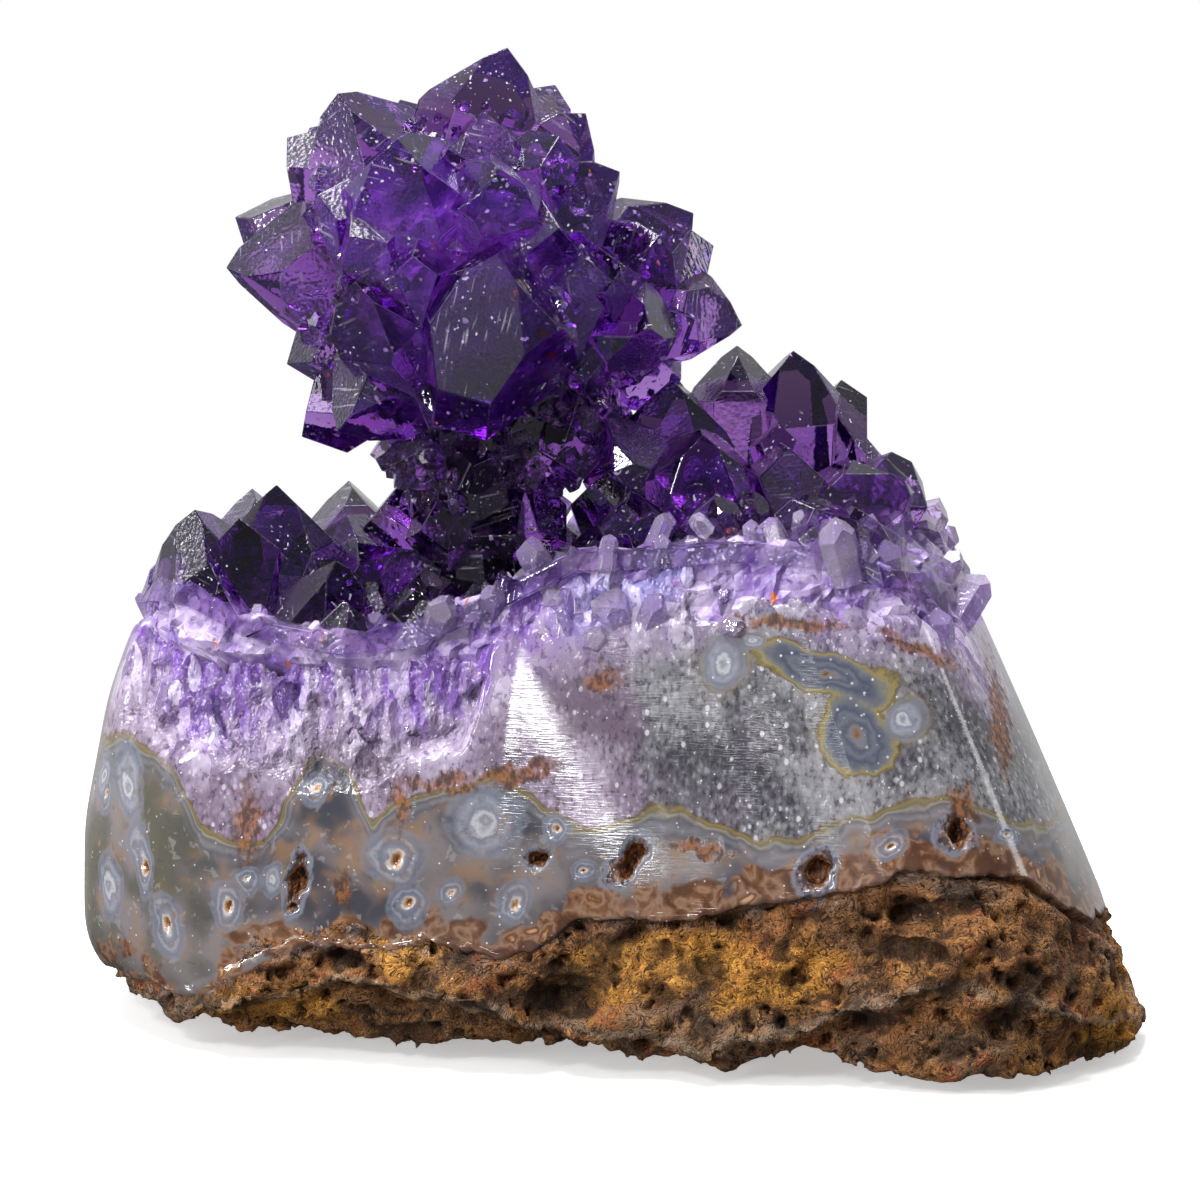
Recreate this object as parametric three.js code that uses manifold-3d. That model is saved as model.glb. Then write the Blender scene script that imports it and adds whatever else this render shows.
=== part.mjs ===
/*
 * Amethyst stalactite on its matrix: one natural specimen of a geode's wall.
 *
 * From the bottom up: the rough host rock, the geode's wall (agate, then quartz, then a lilac
 * band, sawn and polished on its flanks), the druse of amethyst points that lines the wall, and
 * the stalactite, a neck with a round head and a lobe, grown over with larger points.
 *
 * Millimetres, +Z up, +X to the right, +Y away from the polished front. The origin is the centre
 * of the underside of the bounding box.
 */

import * as THREE from 'three';
import { ConvexGeometry } from 'three/addons/geometries/ConvexGeometry.js';
import { mergeVertices } from 'three/addons/utils/BufferGeometryUtils.js';
import Module from 'manifold-3d';

const wasm = await Module();
wasm.setup();

// ---- Driving dimensions ----------------------------------------------------------------------

const GAP = 0.3;            // between neighbouring pieces
const SOLE_LEVEL = 1.8;     // where the flat underside begins to round up
const FOOT_LEVEL = 8.5;     // where the polished flanks begin
const RIM_LEVEL = 52;       // the level at which the rim's outline is taken
const TALL_LEVEL = 84;      // the flanks are carried on to here, to trim the druse flush
const NARROW = 9.5;         // a point slimmer than this has only three end faces
const SKIN = 2.4;           // thickness of the crystal crust between the points
const FINEST = 0.05;        // detail smaller than this is dropped
const ABOVE_ALL = 130;      // higher than everything

// From a quartz point's axis to the normal of its end faces
const QUARTZ_TILT = THREE.MathUtils.degToRad(51.8);

// Plan of the block, corner by corner from the left end round the front: [x, y]
const SOLE_PLAN = [
  [-54, 4], [-48, -15], [-29, -24], [-6, -28], [20, -33], [38, -38], [46, -36.5],
  [56, -28], [60.5, -16], [56, 12], [38, 23], [19, 29], [-23, 30], [-45, 22],
];
const FOOT_PLAN = [
  [-61.5, 4], [-54, -17], [-30, -27], [-5, -30], [20, -34.5], [38, -38], [45, -36.5],
  [53.5, -29], [58, -16], [55, 14], [40, 27], [20, 33], [-25, 34], [-51, 25],
];
const RIM_PLAN = [
  [-52.5, 1], [-46.5, -12.5], [-28, -18], [-8, -20], [10, -21.5], [28, -22.5], [32, -21],
  [36, -16], [38, -6], [38, 13], [27, 20], [14, 24], [-24, 25], [-45, 16],
];

const UNDERCUT = 0.95;      // plan scale of the flat underside, against the outline above it

// Heights from the left end to the right one: [x, z]
const ROCK_TOP = [
  [-60, 5], [-50, 8], [-40, 12], [-31, 15.5], [-14, 14], [1, 19], [16, 20], [38, 26], [47, 21], [60, 11],
];
const BED_FRONT = [
  [-60, 52], [-47, 52], [-40, 47], [-30, 45.5], [-18, 47], [-12, 51], [-5, 55], [5, 55.5], [18, 56.5],
  [28, 54], [38, 50],
];
const BED_INSIDE = [
  [-60, 48], [-40, 46], [-24, 44.5], [-10, 46.5], [0, 53], [12, 58], [20, 59.5], [28, 57], [38, 50],
];
const BED_BACK = [[-60, 46], [-40, 46], [-20, 46], [0, 49], [15, 52], [38, 48]];

// ---- Small helpers -----------------------------------------------------------------------------

const vec = (x, y, z) => new THREE.Vector3(x, y, z);

function randomStream(seed) {
  let state = seed;
  return () => {
    state = (state * 1664525 + 1013904223) % 4294967296;
    return state / 4294967296;
  };
}

/** Smooth height at x along a list of [x, height] stations. */
function heightAlong(stations, x) {
  const last = stations.length - 1;
  if (x <= stations[0][0]) return stations[0][1];
  if (x >= stations[last][0]) return stations[last][1];
  const i = stations.findIndex((station) => station[0] > x);
  const [x0, z0] = stations[i - 1];
  const [x1, z1] = stations[i];
  return THREE.MathUtils.lerp(z0, z1, THREE.MathUtils.smoothstep(x, x0, x1));
}

/** A closed three.js geometry as a manifold solid. */
function solidOf(geometry) {
  const bare = geometry.clone();
  bare.deleteAttribute('normal');
  bare.deleteAttribute('uv');
  const merged = mergeVertices(bare, 1e-4);
  const mesh = new wasm.Mesh({
    numProp: 3,
    vertProperties: Float32Array.from(merged.attributes.position.array),
    triVerts: Uint32Array.from(merged.index.array),
  });
  return new wasm.Manifold(mesh);
}

/** A manifold solid as a three.js geometry. */
function geometryOf(solid) {
  const mesh = solid.getMesh();
  const geometry = new THREE.BufferGeometry();
  geometry.setAttribute('position', new THREE.BufferAttribute(mesh.vertProperties, 3));
  geometry.setIndex(new THREE.BufferAttribute(mesh.triVerts, 1));
  geometry.computeVertexNormals();
  return geometry;
}

const joined = (solids) => wasm.Manifold.union(solids);

/** The one body of a solid, without the slivers, crumbs and pockets that cuts and joins leave. */
function cleanBody(solid) {
  const bodies = solid.simplify(FINEST).decompose();
  return bodies.reduce((best, body) => (body.volume() > best.volume() ? body : best));
}

// ---- The block: one closed envelope, cut into layers ---------------------------------------------

const PLAN_STEPS = 36;

const planCurve = (points) => new THREE.CatmullRomCurve3(
  points.map(([x, y]) => vec(x, y, 0)), true, 'centripetal',
);
const soleCurve = planCurve(SOLE_PLAN);
const footCurve = planCurve(FOOT_PLAN);
const rimCurve = planCurve(RIM_PLAN);

/** A point of the block's flank: t goes round the plan, z is the height. */
function flankPoint(t, z) {
  const sole = soleCurve.getPoint(t);
  const foot = footCurve.getPoint(t);
  const rim = rimCurve.getPoint(t);
  if (z < SOLE_LEVEL) return sole.multiplyScalar(UNDERCUT).setZ(z);
  if (z < FOOT_LEVEL) {
    const round = Math.sqrt((z - SOLE_LEVEL) / (FOOT_LEVEL - SOLE_LEVEL));
    return sole.lerp(foot, round).setZ(z);
  }
  const rise = (z - FOOT_LEVEL) / (RIM_LEVEL - FOOT_LEVEL);
  const bulge = 1 + 0.05 * Math.sin(Math.PI * Math.min(rise, 1)) * (foot.x < -20 ? 1 : 0.15);
  return foot.lerp(rim, rise).multiplyScalar(bulge).setZ(z);
}

/** The block's outer form from the underside up to a height. */
function envelope(levels) {
  const form = new THREE.CylinderGeometry(1, 1, 1, PLAN_STEPS, levels.length - 1);
  form.rotateX(Math.PI / 2);
  const position = form.attributes.position;
  for (let i = 0; i < position.count; i += 1) {
    const corner = vec().fromBufferAttribute(position, i);
    const level = levels[Math.round((corner.z + 0.5) * (levels.length - 1))];
    const turn = (Math.atan2(corner.y, corner.x) / (2 * Math.PI) + 1.5) % 1;
    const onAxis = Math.hypot(corner.x, corner.y) < 0.5;
    const place = onAxis ? vec(0, 0, level) : flankPoint(turn, level);
    position.setXYZ(i, place.x, place.y, place.z);
  }
  return solidOf(form);
}

/** Everything above a height field, as a solid wider than the block. */
function above(height, offset = 0) {
  const slab = new THREE.BoxGeometry(150, 110, 2, 17, 6, 1);
  const position = slab.attributes.position;
  for (let i = 0; i < position.count; i += 1) {
    const x = position.getX(i);
    const y = position.getY(i);
    position.setZ(i, position.getZ(i) > 0 ? ABOVE_ALL : height(x, y) + offset);
  }
  return solidOf(slab);
}

const FRONT_Y = -20;
const INSIDE_Y = -2;
const BACK_Y = 22;

/** The uneven surface of the crystal bed. */
function bedHeight(x, y) {
  const front = heightAlong(BED_FRONT, x);
  const inside = heightAlong(BED_INSIDE, x);
  const back = heightAlong(BED_BACK, x);
  if (y < INSIDE_Y) {
    return THREE.MathUtils.lerp(front, inside, THREE.MathUtils.smoothstep(y, FRONT_Y, INSIDE_Y));
  }
  return THREE.MathUtils.lerp(inside, back, THREE.MathUtils.smoothstep(y, INSIDE_Y, BACK_Y));
}

/** The uneven contact between host rock and agate. */
function rockHeight(x, y) {
  const ripple = 0.9 * Math.sin(0.33 * x + 0.21 * y) + 0.7 * Math.sin(0.41 * y - 0.13 * x);
  return heightAlong(ROCK_TOP, x) + 0.06 * (y + 30) + ripple;
}

/** The underside: flat in the middle, arched up between the feet along the front edge. */
function undersideHeight(x, y) {
  const edge = THREE.MathUtils.smoothstep(-y, 19, 30);
  const arches = 5.5 * Math.exp(-(((x + 12) / 9) ** 2)) + 3.0 * Math.exp(-(((x - 22) / 7) ** 2));
  return -1 + edge * (1 + arches);
}

const block = envelope([0, SOLE_LEVEL, 4.5, FOOT_LEVEL, 22, 37, RIM_LEVEL, TALL_LEVEL]);

const overBed = above(bedHeight, GAP);

// ---- Quartz points -------------------------------------------------------------------------------

/** The corners of the convex solid bounded by planes { normal, reach }. */
function cornersOf(planes) {
  const corners = [];
  for (let i = 0; i < planes.length; i += 1) {
    for (let j = i + 1; j < planes.length; j += 1) {
      for (let k = j + 1; k < planes.length; k += 1) {
        const [a, b, c] = [planes[i], planes[j], planes[k]];
        const bc = vec().crossVectors(b.normal, c.normal);
        const volume = a.normal.dot(bc);
        if (Math.abs(volume) > 1e-6) {
          const corner = bc.multiplyScalar(a.reach)
            .addScaledVector(vec().crossVectors(c.normal, a.normal), b.reach)
            .addScaledVector(vec().crossVectors(a.normal, b.normal), c.reach)
            .divideScalar(volume);
          const inside = planes.every((plane) => plane.normal.dot(corner) < plane.reach + 1e-5);
          if (inside) corners.push(corner);
        }
      }
    }
  }
  return corners;
}

/**
 * One quartz point: a six-sided prism under six end faces, of which three are the larger.
 * azimuth and elevation (degrees) give its axis; turn rolls it, 0 putting a large end face
 * undermost. depth is how far it reaches back from its tip. A blunt point, as the small ones
 * are, has only its three larger end faces, over three sides.
 */
function quartzPoint(point) {
  const { tip, azimuth, elevation, width, turn, depth, seed, drop = 1, blunt = false, grow = 0 } = point;
  const random = randomStream(seed * 7919 + 17);
  const az = THREE.MathUtils.degToRad(azimuth);
  const el = THREE.MathUtils.degToRad(elevation);
  const axis = vec(Math.cos(el) * Math.cos(az), Math.cos(el) * Math.sin(az), Math.sin(el));
  const under = vec(Math.sin(el) * Math.cos(az), Math.sin(el) * Math.sin(az), -Math.cos(el));
  const beside = vec().crossVectors(axis, under);
  const end = vec(...tip);
  const root = end.clone().addScaledVector(axis, -depth);
  const planes = [{ normal: axis.clone().negate(), reach: -axis.dot(root) }];
  for (let face = 0; face < 6; face += 1) {
    const large = face % 2 === 0;
    const angle = THREE.MathUtils.degToRad(turn + 60 * face);
    const outward = vec().addScaledVector(under, Math.cos(angle)).addScaledVector(beside, Math.sin(angle));
    const side = (width / 2) * (0.92 + 0.16 * random()) * (face === 0 ? drop : 1);
    const sideFace = { normal: outward, reach: outward.dot(root) + side + grow };
    const slope = vec().addScaledVector(outward, Math.sin(QUARTZ_TILT))
      .addScaledVector(axis, Math.cos(QUARTZ_TILT));
    const setBack = large ? 0.02 * random() : 0.1 + 0.16 * random();
    const endFace = { normal: slope, reach: slope.dot(end) + setBack * (width / 2) + grow };
    if (blunt) planes.push(large ? endFace : sideFace);
    else planes.push(sideFace, endFace);
  }
  return solidOf(new ConvexGeometry(cornersOf(planes)));
}

// ---- The stalactite --------------------------------------------------------------------------------

const HEAD = { centre: [-18, -4, 87], reach: 22, core: 15 };
const LOBE = { centre: [-1.6, 3, 82], reach: 15.5, core: 9.5 };
const SHOULDER = { centre: [-7, 3, 70], reach: 13, core: 8.5 };
const NECK = { foot: [-14.5, 4, 44], top: [-17, 1, 76], radius: 9.5, rings: 4, around: 7 };

// The head's larger points: [x, y, z of the tip, azimuth, elevation, width, turn], and where a
// point is deeper below its tip than it is wide, by how much; a shorter one adds its depth
const HEAD_POINTS = [
  [-23.5, -20, 103, -108, 50, 15.5, -4],
  [-12.6, -25, 91.3, -84, 44, 15, -21, 1.4],
  [-43, -6, 87, -170, 2, 13, 20],
  [-42.5, 2, 91.5, 168, 18, 9, 50],
  [-36.5, 0, 100.7, 165, 42, 9, 15],
  [-34.2, 4, 101.4, 150, 45, 5, 0],
  [-30.4, -7, 106.5, -140, 58, 13, 10],
  [-11.8, -2, 111, 10, 72, 13, 25],
  [-6.6, 2, 106.4, 30, 62, 6, 0],
  [-8.5, 0, 106, 20, 66, 5, 30],
  [-14, -13, 105, -80, 62, 10, 0],
  [-12.3, -22, 100, -75, 40, 10, 12],
  [-3.2, -3, 103.7, 0, 50, 14, 30],
  [-6, -13, 102.5, -40, 52, 8, 0],
  [0.6, -10, 98.2, -20, 36, 13, 15],
  [-21.7, -25, 91, -100, 30, 5.5, 0],
  [-28.2, -20, 87.5, -125, 42, 11.5, 0],
  [-30.5, -14, 70, -150, -38, 12, 60],
  [-36.6, -4, 75.8, -176, -18, 9, 30],
  [-35.1, -2, 67.2, 178, -38, 9, 60],
  [-32.5, -8, 72.4, -160, -35, 7, 0],
  [-8, -17, 75, -55, -25, 10, 60],
  [-32.4, -14, 96.2, -150, 35, 7, 0],
  [-28.6, -21, 92.6, -120, 20, 7, 30],
  [-18, -16, 101.5, -92, 50, 8, 20],
  [-19.1, -18, 72, -98, -42, 10, 60],
  [-5.9, -19, 93.2, -55, 20, 8, 0],
];

// The lobe's larger points, as above
const LOBE_POINTS = [
  [8.8, 0, 92.2, 5, 35, 12, 10],
  [11.2, 3, 88.1, 10, 18, 9, 30],
  [14.4, 0, 79.6, -8, -10, 10, 20],
  [-3, -16, 89.4, -75, 30, 8, 0],
  [1, -14, 88.4, -60, 30, 7, 20],
  [5, -9, 91, -45, 40, 12, 0],
  [3.9, -14, 81.4, -70, 5, 10, 0],
  [9.6, -4, 77.2, -30, -25, 7, 0],
  [-3.3, -11, 74.8, -90, -30, 9, 60],
  [2.8, -7, 74.1, -60, -40, 8, 60],
  [5.5, 1, 69, -30, -60, 9, 0],
];

/** Directions spread evenly over a ball, as [azimuth, elevation] in degrees. */
function evenDirections(count) {
  const goldenTurn = 180 * (3 - Math.sqrt(5));
  return Array.from({ length: count }, (_, i) => {
    const height = 1 - (2 * (i + 0.5)) / count;
    return [(i * goldenTurn) % 360, THREE.MathUtils.radToDeg(Math.asin(height))];
  });
}

function placeOn({ centre, reach }, azimuth, elevation, scale) {
  const az = THREE.MathUtils.degToRad(azimuth);
  const el = THREE.MathUtils.degToRad(elevation);
  const out = vec(Math.cos(el) * Math.cos(az), Math.cos(el) * Math.sin(az), Math.sin(el));
  return vec(...centre).addScaledVector(out, reach * scale);
}

/** Smaller points that fill the ball wherever no larger point stands. */
function fillerPoints(ball, count, spacing, taken, seed) {
  const random = randomStream(seed);
  const points = [];
  evenDirections(count).forEach(([azimuth, elevation]) => {
    const scale = 0.76 + 0.15 * random();
    const tip = placeOn(ball, azimuth, elevation, scale);
    const width = 9 + 3.5 * random();
    const turn = 120 * random();
    if (taken.every((other) => other.distanceTo(tip) > spacing)) {
      points.push({ tip: tip.toArray(), azimuth, elevation, width, turn, depth: 11, blunt: true });
    }
  });
  return points;
}

/** The neck's many small points, in staggered rings. */
function neckPoints() {
  const random = randomStream(41);
  const points = [];
  for (let ring = 0; ring < NECK.rings; ring += 1) {
    const centre = vec(...NECK.foot).lerp(vec(...NECK.top), (ring + 0.6) / NECK.rings).toArray();
    for (let place = 0; place < NECK.around; place += 1) {
      const azimuth = (360 * (place + 0.5 * (ring % 2) + 0.35 * random())) / NECK.around;
      const elevation = -28 + 38 * random();
      const reach = NECK.radius * (1.1 + 0.3 * random());
      const tip = placeOn({ centre, reach }, azimuth, elevation * 0.4, 1).toArray();
      const width = 6 + 2.4 * random();
      points.push({ tip, azimuth, elevation, width, turn: 120 * random(), depth: 6, blunt: true });
    }
  }
  return points;
}

/** Points written out row by row; the narrow ones are blunt. */
function named(rows, usualDepth) {
  return rows.map(([x, y, z, azimuth, elevation, width, turn, drop, depth = usualDepth]) => ({
    tip: [x, y, z], azimuth, elevation, width, turn, drop, depth, blunt: width < NARROW,
  }));
}

function stalactitePoints() {
  const head = named(HEAD_POINTS, 20);
  const lobe = named(LOBE_POINTS, 14);
  const tips = [...head, ...lobe].map((point) => vec(...point.tip));
  const headFill = fillerPoints(HEAD, 35, 8.8, tips, 5);
  const lobeFill = fillerPoints(LOBE, 18, 7.6, tips, 9);
  const shoulderFill = fillerPoints(SHOULDER, 13, 6.5, tips, 21);
  return [...head, ...lobe, ...headFill, ...lobeFill, ...shoulderFill, ...neckPoints()];
}

function ballCore({ centre, core }) {
  const ball = new THREE.IcosahedronGeometry(core, 0);
  ball.translate(...centre);
  return solidOf(ball);
}

function neckCore(radius) {
  const foot = vec(...NECK.foot);
  const top = vec(...NECK.top);
  const column = new THREE.CylinderGeometry(radius, radius * 1.05, foot.distanceTo(top), 14, 1);
  const turn = new THREE.Quaternion().setFromUnitVectors(vec(0, 1, 0), top.clone().sub(foot).normalize());
  column.applyQuaternion(turn);
  column.translate(...foot.clone().lerp(top, 0.5).toArray());
  return solidOf(column);
}

function stalactiteSolid(grow = 0) {
  const crystals = stalactitePoints().map((point, i) => quartzPoint({ ...point, grow, seed: i + 1 }));
  const cores = [HEAD, LOBE, SHOULDER].map(ballCore);
  return joined([...cores, neckCore(NECK.radius * 0.8 + grow), ...crystals]);
}

// ---- The druse ---------------------------------------------------------------------------------------

// Its larger points: [x, y, z of the tip, azimuth, elevation, width, turn]
const DRUSE_POINTS = [
  // the mound at the right
  [14, 6, 76.3, 90, 80, 9.5, 0],
  [20.3, 4, 76, -80, 80, 10.5, 10],
  [26, 8, 72, 60, 86, 6.5, 0],
  [28.8, 10, 65.2, 30, 75, 6, 0],
  [6.4, -1, 73.5, -100, 70, 14, 0],
  [9.8, -12, 69.3, -90, 55, 11.5, 4],
  [19.5, -9, 67.2, -80, 60, 8.5, 0],
  [18.5, -4, 69, -90, 60, 5, 0],
  [33.5, -7, 62.5, -30, 30, 12, 20],
  [36, 3, 62.3, 10, 30, 9, 0],
  [-1, -4, 69.7, -150, 62, 9.5, 0],
  [-2.5, -10, 63.3, -120, 45, 7, 0],
  [1.2, -14, 61.8, -100, 45, 6.5, 0],
  [4.1, -15, 61.1, -80, 50, 6, 0],
  [17.5, -17, 61.2, -176, 16, 4.6, 0, 1, 9],
  [19, -18.5, 59.2, 178, 12, 4.2, 30, 1, 9],
  [38.1, 0, 55.5, 0, 40, 8, 0],
  [26.5, -17, 62, -100, 62, 10, 20],
  [11, -14, 62.8, -90, 45, 8.5, 0],
  [6.7, -13, 61.5, -100, 40, 7, 0],
  // the left end
  [-47, -7, 59.8, -120, 74, 12, 0],
  [-41.8, -9, 59.2, -90, 74, 9, 10],
  [-42, 15, 58, 100, 66, 12, 0],
  [-37.8, -5, 62.2, -95, 76, 13, 0],
  [-31, 20, 58, 100, 62, 11, 0],
  [-28.5, 8, 56.4, 60, 50, 7, 0],
  [-19.5, -4, 54, -20, 36, 13, 40],
  [-31, -12, 55, -70, 62, 14, 20],
  // the broken front edge
  [-29.6, -19, 52, -80, 70, 8, 0],
  [-21.6, -19.5, 53.2, -70, 66, 8, 0],
  [-17.2, -19.5, 51.8, -60, 64, 7, 0],
  [-12.9, -19.5, 55.6, 160, 66, 9, 0],
  [-5.2, -20, 59.3, 150, 66, 9, 0],
  [-0.5, -20, 58.6, -90, 76, 8, 0],
];

const SPACING = 9.6;        // between the druse's smaller points
const CLEAR_OF_NECK = 12;   // no druse point closer than this to the neck's foot

/** The druse's smaller points, on a loosely staggered grid over the bed. */
function bedPoints(taken) {
  const random = randomStream(77);
  const points = [];
  for (let row = -4; row <= 3; row += 1) {
    for (let column = -6; column <= 5; column += 1) {
      const x = SPACING * (column + 0.5 * (row % 2) + 0.5 * (random() - 0.5));
      const y = SPACING * (row + 0.5 * (random() - 0.5)) + 1;
      const rise = 4.2 + 3.6 * random();
      const tip = vec(x, y, bedHeight(x, y) + rise);
      const elevation = 62 + 26 * random();
      const azimuth = 360 * random();
      const width = 9 + 3.5 * random();
      const turn = 120 * random();
      const clear = Math.hypot(x - NECK.foot[0], y - NECK.foot[1]) > CLEAR_OF_NECK;
      if (clear && taken.every((other) => other.distanceTo(tip) > SPACING)) {
        points.push({ tip: tip.toArray(), azimuth, elevation, width, turn, depth: 13, blunt: true });
      }
    }
  }
  return points;
}

function druseSolid(stalactiteRoom) {
  const skin = overBed.subtract(above(bedHeight, SKIN));
  const large = named(DRUSE_POINTS, 18);
  const small = bedPoints(large.map((point) => vec(...point.tip)));
  const crystals = [...large, ...small].map((point, i) => quartzPoint({ ...point, seed: i + 401 }));
  const onBed = joined([skin, ...crystals]).intersect(overBed).intersect(block);
  return cleanBody(onBed.subtract(stalactiteRoom));
}

// ---- The parts, from the bottom up ---------------------------------------------------------------------

const rock = block.intersect(above(undersideHeight)).subtract(above(rockHeight));
const wall = block.intersect(above(rockHeight, GAP)).subtract(above(bedHeight));
const stalactite = cleanBody(stalactiteSolid().intersect(overBed));
const druse = druseSolid(stalactiteSolid(GAP));

const PARTS = [
  ['host_rock', cleanBody(rock), { color: 0x7a4b22, roughness: 0.95 }],
  ['geode_wall', cleanBody(wall), { color: 0x8f94a6, roughness: 0.12 }],
  ['druse', druse, { color: 0x5b3a9a, roughness: 0.05 }],
  ['stalactite', stalactite, { color: 0x3b1d78, roughness: 0.05 }],
];

const group = new THREE.Group();
const box = new THREE.Box3();
for (const [name, solid, finish] of PARTS) {
  const geometry = geometryOf(solid);
  geometry.computeBoundingBox();
  box.union(geometry.boundingBox);
  const material = new THREE.MeshStandardMaterial({ metalness: 0, ...finish });
  const mesh = new THREE.Mesh(geometry, material);
  mesh.name = name;
  group.add(mesh);
}

// The origin goes to the centre of the underside of the whole
const middle = box.getCenter(vec());
group.position.set(-middle.x, -middle.y, -box.min.z);
group.updateMatrixWorld(true);

export default group;
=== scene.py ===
"""An amethyst stalactite on its matrix: the finish of every surface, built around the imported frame.

Run as a script, it makes each piece with its own operator, in order. The panel in the 3D view's
sidebar lists the same operators.
"""

import math
import random

import bmesh
import bpy
import numpy as np
from bpy.props import FloatProperty, FloatVectorProperty, IntProperty, PointerProperty
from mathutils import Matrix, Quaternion, Vector, noise
from mathutils.bvhtree import BVHTree


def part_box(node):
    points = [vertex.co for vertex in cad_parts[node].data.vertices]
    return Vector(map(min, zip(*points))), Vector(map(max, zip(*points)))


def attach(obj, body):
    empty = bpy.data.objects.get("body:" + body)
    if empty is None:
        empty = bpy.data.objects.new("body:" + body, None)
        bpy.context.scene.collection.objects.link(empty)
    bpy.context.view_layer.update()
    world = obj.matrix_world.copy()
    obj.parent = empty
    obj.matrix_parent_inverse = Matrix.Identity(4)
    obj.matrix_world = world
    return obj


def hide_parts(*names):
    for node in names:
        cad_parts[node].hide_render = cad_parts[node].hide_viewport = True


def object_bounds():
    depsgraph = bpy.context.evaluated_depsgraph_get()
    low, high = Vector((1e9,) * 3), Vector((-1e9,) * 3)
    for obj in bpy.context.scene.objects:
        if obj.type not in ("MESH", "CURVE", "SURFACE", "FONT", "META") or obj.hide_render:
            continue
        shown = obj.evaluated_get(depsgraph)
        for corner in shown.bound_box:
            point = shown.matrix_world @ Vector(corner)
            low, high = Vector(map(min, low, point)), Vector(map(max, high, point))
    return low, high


bl_info = {
    "name": "Amethyst stalactite",
    "version": (1, 0, 0),
    "blender": (4, 5, 0),
    "location": "3D View > Sidebar > Amethyst",
    "description": "Builds an amethyst stalactite on its matrix around the packed frame",
    "category": "Object",
}

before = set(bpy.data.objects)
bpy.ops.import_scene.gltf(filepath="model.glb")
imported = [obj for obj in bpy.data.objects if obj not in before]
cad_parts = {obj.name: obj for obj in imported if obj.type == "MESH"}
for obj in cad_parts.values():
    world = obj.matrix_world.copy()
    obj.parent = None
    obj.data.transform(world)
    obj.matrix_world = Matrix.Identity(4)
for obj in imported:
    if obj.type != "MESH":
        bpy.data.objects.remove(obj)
CAD_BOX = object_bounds()
noise.seed_set(1)           # without a seed, the noise's vectors differ from run to run

MM = 0.001
BODY = "root"
SAME_POINT = 0.002 * MM     # corners closer than this are one corner
FINEST = 0.01 * MM          # places closer than this count as equal when they are put in order
FLAT = math.radians(0.6)    # faces that turn less than this are one facet
END_FACE = math.radians(50) # how far the normals of a point's end faces lean from its axis


# ---- Shader maths -----------------------------------------------------------------------------


def linear(red, green, blue):
    """A colour given as the eye reads it, 0 to 255, as the linear RGBA that a socket takes."""
    shares = [part / 255 for part in (red, green, blue)]
    return (*[s / 12.92 if s <= 0.04045 else ((s + 0.055) / 1.055) ** 2.4 for s in shares], 1.0)


class Number:
    """A socket that carries a number, so that shader maths reads as an ordinary expression."""

    def __init__(self, finish, socket):
        self.finish = finish
        self.socket = socket

    def __add__(self, other):
        return self.finish.maths("ADD", self, other)

    def __sub__(self, other):
        return self.finish.maths("SUBTRACT", self, other)

    def __rsub__(self, other):
        return self.finish.maths("SUBTRACT", other, self)

    def __mul__(self, other):
        return self.finish.maths("MULTIPLY", self, other)

    __radd__ = __add__
    __rmul__ = __mul__

    def rise(self, low, high):
        """0 up to low, 1 from high on, smooth between; with low above high it falls instead."""
        node = self.finish.add(
            "ShaderNodeMapRange",
            {"interpolation_type": "SMOOTHSTEP"},
            {"Value": self, "From Min": low, "From Max": high},
        )
        return Number(self.finish, node.outputs["Result"])

    def least(self, other):
        return self.finish.maths("MINIMUM", self, other)

    def most(self, other):
        return self.finish.maths("MAXIMUM", self, other)

    def size(self):
        return self.finish.maths("ABSOLUTE", self)


class Nodes:
    """A node tree, with one method that adds any node."""

    def __init__(self, tree):
        self.tree = tree
        tree.nodes.clear()

    def add(self, kind, settings=None, sockets=None):
        """Adds a node: its settings or its ramp's stops first, then the values or links of its sockets."""
        node = self.tree.nodes.new(kind)
        for name, value in (settings or {}).items():
            if name == "stops":
                while len(node.color_ramp.elements) < len(value):
                    node.color_ramp.elements.new(1.0)
                for element, (position, colour) in zip(node.color_ramp.elements, value):
                    element.position = position
                    element.color = colour
            else:
                setattr(node, name, value)
        for name, value in (sockets or {}).items():
            self.feed(node.inputs[name], value)
        return node

    def feed(self, socket, value):
        value = value.socket if isinstance(value, Number) else value
        if isinstance(value, bpy.types.NodeSocket):
            self.tree.links.new(value, socket)
        else:
            socket.default_value = value

    def vector(self, operation, *operands):
        node = self.add("ShaderNodeVectorMath", {"operation": operation}, dict(enumerate(operands)))
        return node.outputs[0]


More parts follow.
